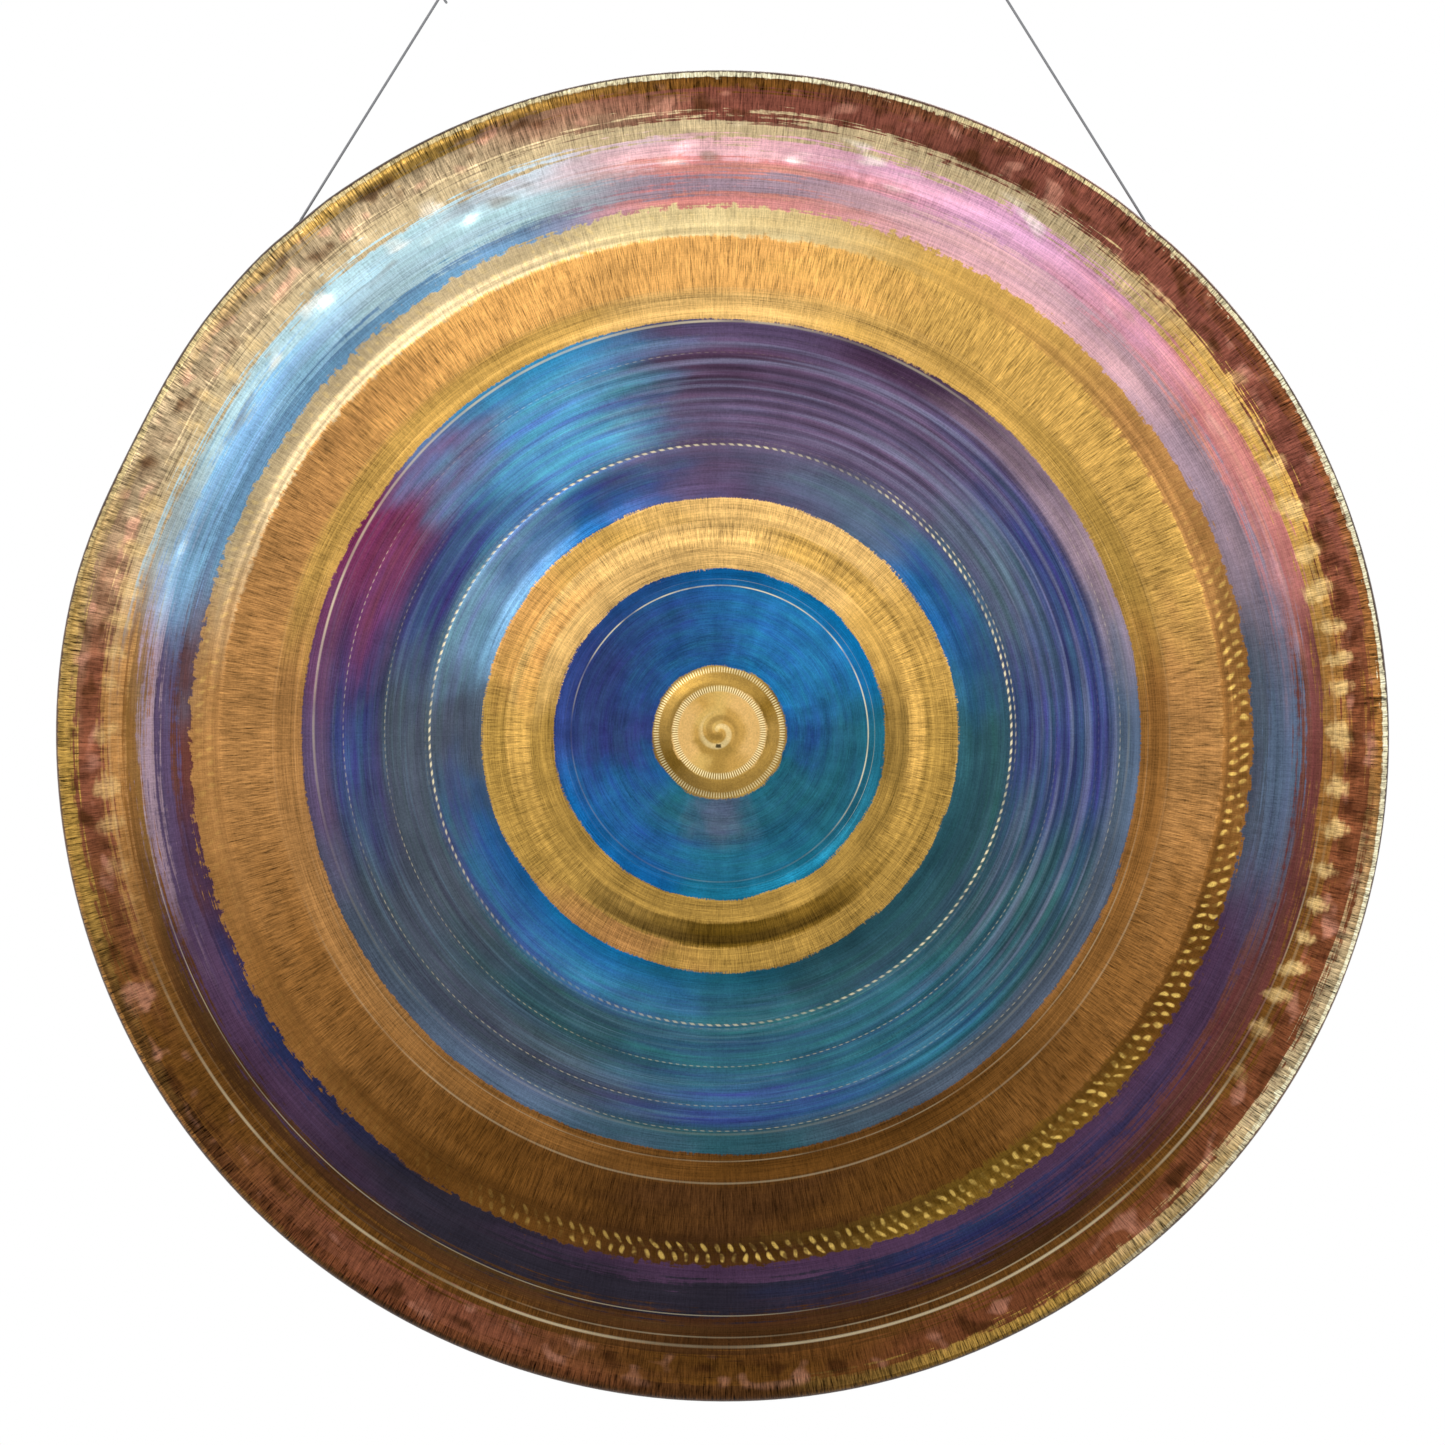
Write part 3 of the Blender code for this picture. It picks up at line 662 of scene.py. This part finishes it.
def hammer_dents():
    """Hammer blows as (angle, radius, angular size in degrees, radial size, depth)."""
    rng = np.random.default_rng(32)
    dents = []
    angle = 0.0
    while angle < 358.0:
        busy = 58.0 < angle < 112.0
        deep = 0.0011 if busy else 0.0006 * rng.uniform(0.2, 1.3)
        wide = 0.85 if busy else rng.uniform(0.9, 2.0)
        dents.append((angle, 0.3835 + rng.normal(0, 0.0025), wide, 0.0075, deep))
        angle += 3.3 if busy else rng.uniform(3.0, 6.5)
    for centre, count in ((85.0, 16), (352.0, 9), (22.0, 7), (305.0, 8), (275.0, 7)):
        for _ in range(count):
            dents.append((centre + rng.normal(0, 12), rng.uniform(0.348, 0.374), rng.uniform(0.8, 1.9),
                          rng.uniform(0.003, 0.008), rng.uniform(-0.0006, 0.0009)))
    for centre, radius in ((42.0, 0.369), (318.0, 0.360), (6.0, 0.353), (14.0, 0.349), (334.0, 0.352)):
        dents.append((centre, radius, 1.0, 0.0045, 0.0016))
    for _ in range(70):
        dents.append((rng.uniform(0, 360), rng.uniform(0.05, 0.29), rng.uniform(1.0, 3.0),
                      rng.uniform(0.003, 0.010), rng.uniform(-0.00015, 0.00025)))
    return dents


DENTS = hammer_dents()


def face_height(rho, theta, fine):
    """Height of the face in front of the rim's plane, over arrays of ring radius and angle."""
    height = FACE_BULGE * (1.0 - (rho / FACE_RADIUS) ** 2)
    height = height + BOSS[2] * (1.0 - smoothstep(rho, BOSS[0], BOSS[1]))
    for inner_foot, inner_crown, outer_crown, outer_foot, rise in RAISED_RINGS:
        height = height + rise * smoothstep(rho, inner_foot, inner_crown)
        height = height - rise * smoothstep(rho, outer_crown, outer_foot)
    inside = 1.0 - smoothstep(rho, FACE_RADIUS - 0.004, FACE_RADIUS)
    height = height - 0.0012 * np.exp(-((rho - 0.1245) / 0.0042) ** 2)
    height = height - 0.0006 * np.exp(-((rho - 0.2605) / 0.004) ** 2)
    for angle, radius, wide, deep, depth in DENTS:
        near = np.exp(-(angle_away(theta, angle) / wide) ** 2 - ((rho - radius) / deep) ** 2)
        height = height - depth * inside * near
    wave = 0.0007 * np.sin(5 * theta + 1.0) + 0.0005 * np.sin(9 * theta + 2.2) + 0.0004 * np.sin(17 * theta)
    height = height + wave * smoothstep(rho, 0.31, 0.35) * inside
    if fine:
        ripple = np.sin(rho * 2 * pi * 1000 / RIPPLE_PITCH + theta)
        height = height + 0.00012 * ripple * (rho > 0.16) * (rho < 0.25)
        height = height - 0.0002 * np.exp(-((rho - 0.1756) / 0.0009) ** 2)
        chain = 0.03 + 0.75 * np.exp(-(angle_away(theta, 135) / 42) ** 2)
        chain = chain + 0.15 * np.exp(-(angle_away(theta, 310) / 35) ** 2)
        for row, middle in enumerate((0.3095, 0.3160)):
            blows = np.cos(PEEN_MARKS * theta + row * pi) * np.exp(-((rho - middle) / 0.0026) ** 2)
            height = height + 0.00030 * chain * blows
        for x, z, size, depth in ((-0.002, 0.004, 0.004, 0.0007), (-0.001, -0.005, 0.002, 0.0007),
                                  (0.002, -0.016, 0.005, 0.0005), (0.008, 0.008, 0.006, 0.0004),
                                  (-0.009, 0.018, 0.006, 0.0004)):
            away = (rho * np.sin(theta) - x) ** 2 + (rho * np.cos(theta) - z) ** 2
            height = height - depth * np.exp(-away / size ** 2)
    return height


def rim_scale(theta, rho):
    """Shrinks the outline where the rim is bent in, and follows the CAD's flats at the two holes."""
    shrink = 0.0115 * np.exp(-(angle_away(theta, 297) / 10.0) ** 2)
    shrink = shrink + 0.0011 * np.sin(3 * theta + 0.6) ** 2
    for side in (-1, 1):
        away = angle_away(theta, side * np.degrees(HOLE_ANGLE))
        shrink = shrink * smoothstep(np.abs(away), 3.0, 9.0)
    scale = 1.0 - shrink * smoothstep(rho, 0.30, 0.40)
    half = 180.0 / CAD_FACETS
    for side in (-1, 1):
        away = angle_away(theta, side * np.degrees(HOLE_ANGLE))
        flat = cos(radians(half)) / np.cos(np.radians(np.clip(away, -half, half)))
        scale = scale * np.where(np.abs(away) < half, 1.0 + (flat - 1.0) * smoothstep(rho, 0.39, 0.40), 1.0)
    return scale


def wall_radius(y):
    start_radius = FACE_RADIUS + BEND_RADIUS * cos(FLANGE_LEAN)
    return start_radius - (y - BEND_RADIUS * (1.0 + sin(FLANGE_LEAN))) * sin(FLANGE_LEAN) / cos(FLANGE_LEAN)


def gong_rings():
    """Rings from the middle of the face, round the rim and back to the middle of the back.

    Each is (points a turn, radius, fixed y or None for the face, back offset, ring coordinate, is back).
    """
    rings = []
    radii = list(np.arange(CENTRE_STEP, 0.043, CENTRE_STEP)) + list(np.arange(0.043, FINE_FROM, FACE_STEP))
    radii += [0.0886, 0.0896, 0.0906, 0.1747, 0.1756, 0.1765]
    for radius in sorted(radii):
        rings.append((COARSE, radius, None, 0.0, radius, False))
    for radius in np.linspace(FINE_FROM, FACE_RADIUS, round((FACE_RADIUS - FINE_FROM) / RIM_STEP)):
        rings.append((FINE, radius, None, 0.0, radius, False))
    for k in range(1, 8):
        angle = pi / 2 - (pi / 2 + FLANGE_LEAN) * k / 7
        radius = FACE_RADIUS + BEND_RADIUS * cos(angle)
        y = BEND_RADIUS * (1.0 - sin(angle))
        count = FINE if k < 5 else COARSE
        rings.append((count, radius, y, 0.0, FACE_RADIUS + BEND_RADIUS * (pi / 2 - angle), False))
    bend_end = FACE_RADIUS + BEND_RADIUS * (pi / 2 + FLANGE_LEAN)
    start = BEND_RADIUS * (1.0 + sin(FLANGE_LEAN))
    for y in (0.0118, 0.0137, 0.016, 0.0183, 0.0205, 0.025, 0.030, 0.036, 0.042, 0.0452):
        rings.append((COARSE, wall_radius(y), y, 0.0, bend_end + y - start, False))
    edge = wall_radius(FLANGE_DEPTH)
    rings.append((COARSE, edge - 0.0004, FLANGE_DEPTH, 0.0, bend_end + 0.037, False))
    rings.append((COARSE, edge - SHEET + 0.0003, FLANGE_DEPTH, 0.0, bend_end + 0.038, False))
    for y in (0.0452, 0.042, 0.036, 0.030, 0.025, 0.0205, 0.0183, 0.016, 0.0137, 0.0118):
        rings.append((COARSE, wall_radius(y) - SHEET, y, 0.0, bend_end + 0.04 + (FLANGE_DEPTH - y), True))
    inner = BEND_RADIUS - SHEET
    for k in range(0, 6):
        angle = -FLANGE_LEAN + (pi / 2 + FLANGE_LEAN) * k / 5
        radius = FACE_RADIUS + inner * cos(angle)
        rings.append((COARSE, radius, BEND_RADIUS - inner * sin(angle), 0.0, radius, True))
    for radius in np.linspace(FACE_RADIUS - 0.005, 0.006, 66):
        rings.append((COARSE, radius, None, SHEET, radius, True))
    return rings


def ring_points(count, radius, y, offset, front):
    theta = np.arange(count) * 2 * pi / count
    fade = max(0.0, 1.0 - radius / GONG_RADIUS)
    scale = rim_scale(theta, np.full(count, min(radius, GONG_RADIUS)))
    x = radius * scale * np.sin(theta) + RING_DRIFT[0] * fade
    z = radius * scale * np.cos(theta) + RING_DRIFT[1] * fade
    if y is None:
        depth = offset - face_height(np.full(count, radius), theta, front)
    else:
        depth = np.full(count, y)
    return np.stack((x, depth, z), axis=1)


def bake_place(turn, along, back):
    """Place on the bake map: the front a large disc, the back a smaller one beside it."""
    middle, size = (0.85, 0.145) if back else (0.345, 0.33)
    reach = size * min(along / 0.46, 1.0)
    return middle + reach * sin(turn * 2 * pi), middle + reach * cos(turn * 2 * pi)


def make_gong():
    rings = gong_rings()
    top = float(face_height(np.zeros(1), np.zeros(1), True)[0])
    chunks = [np.array([[RING_DRIFT[0], -top, RING_DRIFT[1]]])]
    starts = []
    made = 1
    for count, radius, y, offset, _, is_back in rings:
        chunks.append(ring_points(count, radius, y, offset, not is_back))
        starts.append(made)
        made += count
    centre_height = float(face_height(np.zeros(1), np.zeros(1), False)[0])
    chunks.append(np.array([[RING_DRIFT[0], SHEET - centre_height, RING_DRIFT[1]]]))
    points = np.concatenate(chunks)
    matrix = np.array(GONG)
    points = points @ matrix[:3, :3].T + matrix[:3, 3]

    faces, corners, backs = [], [], []

    def add(face, uvs, is_back):
        faces.append(face)
        corners.append(uvs)
        backs.append(is_back)

    def turns(count, k, ring):
        return (k / count, ring[4] / GONG_RADIUS)

    first = rings[0]
    for k in range(COARSE):
        face = (0, starts[0] + (k + 1) % COARSE, starts[0] + k)
        add(face, ((k / COARSE, 0.0), turns(COARSE, k + 1, first), turns(COARSE, k, first)), False)
    for ring, start, after, after_start in zip(rings, starts, rings[1:], starts[1:]):
        a, b = ring[0], after[0]
        is_back = after[5]
        coarse = min(a, b)
        for k in range(coarse):
            near = range(k * a // coarse, (k + 1) * a // coarse + 1)
            far = range(k * b // coarse, (k + 1) * b // coarse + 1)
            inner = [(start + j % a, turns(a, j, ring)) for j in near]
            outer = [(after_start + j % b, turns(b, j, after)) for j in far]
            loop = inner + outer[::-1]
            add(tuple(i for i, _ in loop), tuple(uv for _, uv in loop), is_back)
    last = rings[-1]
    for k in range(COARSE):
        face = (made, starts[-1] + k, starts[-1] + (k + 1) % COARSE)
        add(face, ((k / COARSE, 0.0), turns(COARSE, k, last), turns(COARSE, k + 1, last)), True)

    mesh = bpy.data.meshes.new("gong")
    mesh.from_pydata(points.tolist(), [], faces)
    polar = mesh.uv_layers.new(name="polar")
    bake = mesh.uv_layers.new(name="OFBake")
    flat = [uv for face in corners for uv in face]
    polar.data.foreach_set("uv", [value for uv in flat for value in uv])
    baked = []
    for face, is_back in zip(corners, backs):
        for turn, ring in face:
            baked.extend(bake_place(turn, ring * GONG_RADIUS, is_back))
    bake.data.foreach_set("uv", baked)
    mesh.materials.append(face_material())
    mesh.materials.append(back_material())
    mesh.polygons.foreach_set("material_index", [int(is_back) for is_back in backs])
    mesh.shade_smooth()
    mesh.validate()
    return link("gong", mesh, "gong", "gong_bronze", "gong_plate")


# ---------------------------------------------------------------- cords, knots, grommets, hooks

STOPPER_TAIL = 0.005
BRAID_PITCH = 0.0042
CORD_STEP = 0.0005


def link(name, mesh, body, slot, *replaced):
    obj = bpy.data.objects.new(name, mesh)
    bpy.context.scene.collection.objects.link(obj)
    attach(obj, body)
    if replaced:
        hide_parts(*replaced)
    return obj


def spread_along(points, step):
    """The same line with a point at about every step of its length."""
    points = np.array([list(point) for point in points])
    lengths = np.concatenate(([0.0], np.cumsum(np.linalg.norm(np.diff(points, axis=0), axis=1))))
    count = max(2, round(lengths[-1] / step) + 1)
    wanted = np.linspace(0.0, lengths[-1], count)
    return [Vector([np.interp(value, lengths, points[:, k]) for k in range(3)]) for value in wanted]


def smooth_curve(points, per_segment):
    """Points along a Catmull-Rom curve through the given vectors."""
    padded = [2 * points[0] - points[1], *points, 2 * points[-1] - points[-2]]
    curve = []
    for a, b, c, d in zip(padded, padded[1:], padded[2:], padded[3:]):
        for k in range(per_segment):
            t = k / per_segment
            linear_part = (c - a) * t
            square = (2 * a - 5 * b + 4 * c - d) * t ** 2
            cube = (3 * b - a - 3 * c + d) * t ** 3
            curve.append((2 * b + linear_part + square + cube) / 2)
    curve.append(points[-1])
    return curve


def tube_mesh(name, points, radius, sides, material, thickness=None):
    """A round wire or cord with domed ends; UV holds the turn round it and the metres along it."""
    points = [Vector(point) for point in points]
    scale = list(thickness) if thickness else [1.0] * len(points)
    if not thickness:
        start = (points[0] - points[1]).normalized()
        end = (points[-1] - points[-2]).normalized()
        rounds = [(sin(radians(a)), cos(radians(a))) for a in (35, 65, 85)]
        points = [points[0] + start * radius * out for out, _ in rounds[::-1]] + points
        points += [points[-1] + end * radius * out for out, _ in rounds]
        scale = [size for _, size in rounds[::-1]] + scale + [size for _, size in rounds]
    tangents = []
    for k in range(len(points)):
        before, after = points[max(k - 1, 0)], points[min(k + 1, len(points) - 1)]
        tangents.append((after - before).normalized())
    side = tangents[0].orthogonal().normalized()
    verts, along, length = [], [], 0.0
    for k, (point, tangent) in enumerate(zip(points, tangents)):
        side = (side - tangent * side.dot(tangent)).normalized()
        other = tangent.cross(side)
        if k:
            length += (point - points[k - 1]).length
        along.append(length)
        for j in range(sides):
            angle = 2 * pi * j / sides
            verts.append(point + (side * cos(angle) + other * sin(angle)) * radius * scale[k])
    faces, uvs = [], []
    for k in range(len(points) - 1):
        for j in range(sides):
            near, far = k * sides, (k + 1) * sides
            faces.append((near + j, near + (j + 1) % sides, far + (j + 1) % sides, far + j))
            uvs += [(j / sides, along[k]), ((j + 1) / sides, along[k]),
                    ((j + 1) / sides, along[k + 1]), (j / sides, along[k + 1])]
    last = (len(points) - 1) * sides
    faces.append(tuple(range(sides))[::-1])
    faces.append(tuple(range(last, last + sides)))
    uvs += [(0.0, 0.0)] * sides + [(0.0, along[-1])] * sides
    mesh = bpy.data.meshes.new(name)
    mesh.from_pydata([tuple(v) for v in verts], [], faces)
    layer = mesh.uv_layers.new(name="along")
    layer.data.foreach_set("uv", [value for uv in uvs for value in uv])
    mesh.materials.append(material)
    mesh.shade_smooth()
    mesh.set_sharp_from_angle(angle=radians(60))
    return mesh


def turned_mesh(name, profile, steps, matrix, material, sharp=40):
    """A closed (radius, height) section turned about its own Z, then placed."""
    bm = bmesh.new()
    verts = [bm.verts.new((radius, 0.0, height)) for radius, height in profile]
    edges = [bm.edges.new(pair) for pair in zip(verts, verts[1:] + verts[:1])]
    bmesh.ops.spin(bm, geom=verts + edges, cent=(0, 0, 0), axis=(0, 0, 1), angle=2 * pi, steps=steps,
                   use_merge=True)
    bmesh.ops.remove_doubles(bm, verts=bm.verts, dist=1e-6)
    bmesh.ops.recalc_face_normals(bm, faces=bm.faces)
    bmesh.ops.transform(bm, matrix=matrix, verts=bm.verts)
    mesh = bpy.data.meshes.new(name)
    bm.to_mesh(mesh)
    bm.free()
    mesh.materials.append(material)
    mesh.shade_smooth()
    mesh.set_sharp_from_angle(angle=radians(sharp))
    return mesh


def cord_material():
    """Tight grey nylon braid: crossing strands, painted shade between the strands with lighter painted
    crowns, and a little fluff of colour.
    """
    paint = Paint("grey_braided_nylon")
    uv = paint.node("ShaderNodeUVMap", uv_map="along").outputs[0]
    split = paint.node("ShaderNodeSeparateXYZ", {0: uv})
    twist = product(paint, split.outputs[0], 2 * pi * 4)
    run = product(paint, split.outputs[1], 2 * pi * 4 / BRAID_PITCH)
    left = paint.math("SINE", total(paint, run, twist))
    right = paint.math("SINE", paint.math("SUBTRACT", run, twist))
    weave = product(paint, left, right)
    place = paint.node("ShaderNodeTexCoord").outputs["Object"]
    fibre = paint.noise(place, scale=2600.0, detail=2.0)
    shade = paint.noise(place, scale=70.0, detail=2.0)
    # Painted shade: the colour is darker between the strands and lighter on their crowns, following the
    # weave's height
    color = paint.mix(paint.smooth(weave, -0.6, 0.7), linear("6d6e72"), linear("a6a7aa"))
    color = paint.shade(color, paint.spread(fibre, 0.3, 0.7, 0.86, 1.12))
    color = paint.shade(color, paint.spread(shade, 0.3, 0.7, 0.92, 1.06))
    height = total(paint, product(paint, weave, 0.5), product(paint, fibre, 0.3))
    roughness = paint.spread(fibre, 0.3, 0.7, 0.55, 0.75)
    return paint.finish(color, roughness, height, 0.6, 0.00015, metallic=0.0)


def rubber_material():
    """Dull black moulded rubber with a fine bloom."""
    paint = Paint("black_rubber")
    place = paint.node("ShaderNodeTexCoord").outputs["Object"]
    bloom = paint.noise(place, scale=400.0, detail=4.0)
    grain = paint.noise(place, scale=3500.0, detail=2.0)
    color = paint.mix(paint.smooth(bloom, 0.35, 0.7), linear("1b1b1c"), linear("343436"))
    roughness = paint.spread(bloom, 0.3, 0.7, 0.55, 0.8)
    return paint.finish(color, roughness, grain, 0.3, 0.0001, metallic=0.0)


def zinc_material():
    """Bright zinc plate: faint cloudy passivation, fine drawn lines and duller, darker spots."""
    paint = Paint("zinc_plated_steel")
    place = paint.node("ShaderNodeTexCoord").outputs["Object"]
    cloud = paint.noise(place, scale=180.0, detail=4.0)
    spots = paint.noise(place, scale=900.0, detail=3.0)
    stretched = paint.node("ShaderNodeMapping", {"Vector": place, "Scale": (5.0, 0.6, 5.0)}).outputs[0]
    drawn = paint.noise(stretched, scale=900.0, detail=2.0)
    color = paint.mix(paint.smooth(cloud, 0.3, 0.7), linear("85888d"), linear("a5a49e"))
    color = paint.mix(paint.smooth(spots, 0.62, 0.75, 0.0, 0.35), color, linear("55534f"))
    roughness = paint.spread(total(paint, cloud, spots), 0.7, 1.3, 0.2, 0.38)
    return paint.finish(color, roughness, drawn, 0.15, 0.0001)


def hole_frame(side):
    """World matrix at the middle of a hole's sheet: X towards the gong's top, Z out of the wall."""
    angle = side * HOLE_ANGLE
    radial = Vector((sin(angle), 0.0, cos(angle)))
    outward = radial * cos(FLANGE_LEAN) + Vector((0.0, sin(FLANGE_LEAN), 0.0))
    to_top = Vector((-side * cos(angle), 0.0, side * sin(angle)))
    middle = radial * wall_radius(HOLE_SETBACK) * cos(pi / CAD_FACETS)
    middle.y = HOLE_SETBACK
    middle -= outward * SHEET / 2
    matrix = Matrix((to_top, outward.cross(to_top), outward)).transposed().to_4x4()
    matrix.translation = middle
    return GONG @ matrix


def drill(obj, cutter_mesh):
    cutter = bpy.data.objects.new(cutter_mesh.name, cutter_mesh)
    bpy.context.scene.collection.objects.link(cutter)
    modifier = obj.modifiers.new("hole", "BOOLEAN")
    modifier.operation = "DIFFERENCE"
    modifier.solver = "EXACT"
    modifier.object = cutter
    bpy.context.view_layer.objects.active = obj
    bpy.ops.object.modifier_apply(modifier=modifier.name)
    bpy.data.objects.remove(cutter, do_unlink=True)


def cut_holes(gong):
    """Drill the flange for the two grommets."""
    reach = 6 * SHEET
    profile = [(0, -reach), (HOLE_RADIUS, -reach), (HOLE_RADIUS, reach), (0, reach)]
    for name, side in SIDES:
        bronze = gong.data.materials[0]
        drill(gong, turned_mesh(name + "_drill", profile, 32, hole_frame(side), bronze))


def make_grommet(name, side, rubber):
    """Rubber ring with rolled lips each side of the sheet and a flared throat."""
    neck, seat = HOLE_RADIUS - CLEARANCE, SHEET / 2 + CLEARANCE
    lip, throat = HOLE_RADIUS + LIP_WIDTH, CORD_RADIUS + BORE_ROOM
    top = seat + LIP_HEIGHT
    upper = [(neck, 0.0), (neck, seat), (lip - 0.0001, seat)]
    for k in range(9):
        angle = radians(-10 + 22 * k)
        upper.append((lip - 0.00055 + 0.00055 * cos(angle), (seat + top) / 2 + 0.00045 * sin(angle)))
    for k in range(1, 9):
        blend = k / 9
        upper.append((throat + (lip - 0.0011 - throat) * (1 - blend) ** 2.2, top * (1 - blend) ** 0.8 * 0.97))
    upper.append((throat, 0.0))
    lower = [(radius, -height) for radius, height in reversed(upper[1:-1])]
    mesh = turned_mesh(name + "_grommet_ring", upper + lower, 56, hole_frame(side), rubber, 50)
    link(name + "_grommet_ring", mesh, "gong", "grommet_rubber", name + "_grommet")


def cord_route(side):
    """One cord from its tail inside the flange to the end of its eye, and the places of its knots."""
    place = hole_frame(side)
    hook = Vector((side * HOOK_X, 0.0, BOWL_LINE.z - HOOK_BOWL_RADIUS))
    route = [place @ Vector((along, 0.0, out)) for along, out in CORD_AT_HOLE]
    down = (route[-1] - hook).normalized()
    across = Vector((-down.z, 0.0, down.x)).normalized()
    knot_end = EYE_LENGTH + KNOT_LENGTH
    tail = place @ Vector((0.0008, 0.0, -STOPPER_DEPTH - KNOT_LENGTH - STOPPER_TAIL))
    core = place @ Vector((0.0, 0.0, -STOPPER_DEPTH - KNOT_LENGTH / 2))
    first = smooth_curve([tail, core, *route, route[-1] - down * 0.004], 8)
    leg = CORD_RADIUS + CLEARANCE / 2
    ring = HOOK_WIRE_RADIUS + CLEARANCE + CORD_RADIUS
    start = EYE_LENGTH - CLEARANCE
    touch = atan2(leg, start) + acos(ring / hypot(start, leg))
    flat = [(knot_end - 0.001, 0.0), (EYE_LENGTH + 0.004, leg * 0.45), (EYE_LENGTH + 0.0015, leg * 0.9)]
    flat.append((start, leg))
    for k in range(33):
        angle = touch + (2 * pi - 2 * touch) * k / 32
        flat.append((ring * cos(angle), ring * sin(angle)))
    flat += [(start, -leg), (EYE_LENGTH + 0.0018, -leg * 1.0)]
    second = [hook + down * along + across * aside for along, aside in flat]
    knot = hook + down * (EYE_LENGTH + KNOT_LENGTH / 2)
    return spread_along(first + second, CORD_STEP), (knot, down), (core, place.to_3x3().col[2].copy())


def knot_mesh(name, middle, axis, material, tail):
    """A barrel knot: the cord wound four and a half times round itself, with a short cut tail."""
    side = axis.orthogonal().normalized()
    other = axis.cross(side)
    turns, wind = 4.5, 2 * CORD_RADIUS + 0.00005
    points = []
    for k in range(181):
        t = k / 180
        angle = 2 * pi * turns * t
        height = (t - 0.5) * (KNOT_LENGTH - 2 * CORD_RADIUS)
        points.append(middle + axis * height + (side * cos(angle) + other * sin(angle)) * wind)
    if tail:
        end, before = points[-1], points[-4]
        heading = (end - before).normalized()
        points += [end + heading * 0.0012 + axis * 0.0004, end + heading * 0.003 + axis * 0.0012,
                   end + heading * 0.0050 + axis * 0.0016]
    return tube_mesh(name, spread_along(points, 0.0004), CORD_RADIUS, 12, material)


def make_cords():
    nylon = cord_material()
    for name, side in SIDES:
        route, (knot, down), (core, inward) = cord_route(side)
        mesh = tube_mesh(name + "_cord_line", route, CORD_RADIUS, 12, nylon)
        cord = link(name + "_cord_line", mesh, "cords", "cord_nylon", name + "_cord", name + "_eye_loop")
        loop_mesh = knot_mesh(name + "_barrel_knot", knot, down, nylon, True)
        loop_knot = link(name + "_barrel_knot", loop_mesh, "cords", "cord_nylon", name + "_loop_knot")
        end_mesh = knot_mesh(name + "_end_knot", core, inward, nylon, False)
        end_knot = link(name + "_end_knot", end_mesh, "cords", "cord_nylon", name + "_stopper_knot")
        tuple(hole_frame(side).translation)


def make_hooks():
    """Bent wire hooks, peened into round plates that have two countersunk screw holes."""
    zinc = zinc_material()
    neck_radius, plate, tip = HOOK_NECK_RADIUS, PLATE_THICKNESS, HOOK_TIP_ANGLE
    neck_z = BOWL_LINE.z + sqrt((HOOK_BOWL_RADIUS + neck_radius) ** 2 - neck_radius ** 2)
    turn = atan2(neck_z - BOWL_LINE.z, -neck_radius)
    head = [(0.0, -CLEARANCE), (0.0, -CLEARANCE - HOOK_HEAD_HEIGHT), (0.0, -0.004)]
    path = list(head)
    for k in range(13):
        angle = (turn - pi) * k / 12
        path.append((neck_radius * (cos(angle) - 1.0), neck_z + neck_radius * sin(angle)))
    for k in range(1, 61):
        angle = turn + (2 * pi + tip - turn) * k / 60
        path.append((HOOK_BOWL_RADIUS * cos(angle), BOWL_LINE.z + HOOK_BOWL_RADIUS * sin(angle)))
    thickness = [1.7] + [1.0] * (len(path) - 1)
    end_y, end_z = path[-1]
    for rounding in (25, 45, 60, 72, 82):
        reach = HOOK_WIRE_RADIUS * sin(radians(rounding))
        path.append((end_y - reach * sin(tip), end_z + reach * cos(tip)))
        thickness.append(cos(radians(rounding)))
    edge = PLATE_RADIUS
    section = [(0.0023, -plate), (edge - 0.0012, -plate), (edge - 0.0005, -plate + 0.0001)]
    section += [(edge - 0.0001, -plate + 0.0004), (edge, -plate + 0.0008), (edge, -0.0003)]
    section += [(edge - 0.0002, 0.0), (0.0041, 0.0), (0.0023, -0.00205)]
    screw = [(0.0, -0.004), (SCREW_HEAD_RADIUS, -0.004), (SCREW_HEAD_RADIUS, -plate)]
    screw += [(SCREW_HOLE_RADIUS, -plate + 0.0018), (SCREW_HOLE_RADIUS, 0.001), (0.0, 0.001)]
    for name, side in SIDES:
        x = side * HOOK_X
        line = [(x, y, z) for y, z in path]
        wire = tube_mesh(name + "_hook_wire", line, HOOK_WIRE_RADIUS, 28, zinc, thickness)
        link(name + "_hook_wire", wire, "hooks", "hook_steel", name + "_hook")
        disc = turned_mesh(name + "_plate_disc", section, 72, Matrix.Translation((x, 0, 0)), zinc)
        disc = link(name + "_plate_disc", disc, "hooks", "hook_steel", name + "_hook_plate")
        for aside in (-SCREW_OFFSET, SCREW_OFFSET):
            place = Matrix.Translation((x + aside, 0, 0))
            drill(disc, turned_mesh("screw_drill", screw, 32, place, zinc))


bpy.context.scene.view_settings.view_transform = "Standard"
add_camera()
add_world()
add_area_light("key", (-1.6, -2.4, 1.0), GONG.translation, 2.2, 40)
add_area_light("fill", (1.9, -2.2, -0.2), GONG.translation, 2.2, 14)
add_area_light("back", (0.5, 2.4, 0.6), GONG.translation, 2.2, 30)
add_floor()
gong = make_gong()
cut_holes(gong)
rubber = rubber_material()
for name, side in SIDES:
    make_grommet(name, side, rubber)
make_cords()
make_hooks()
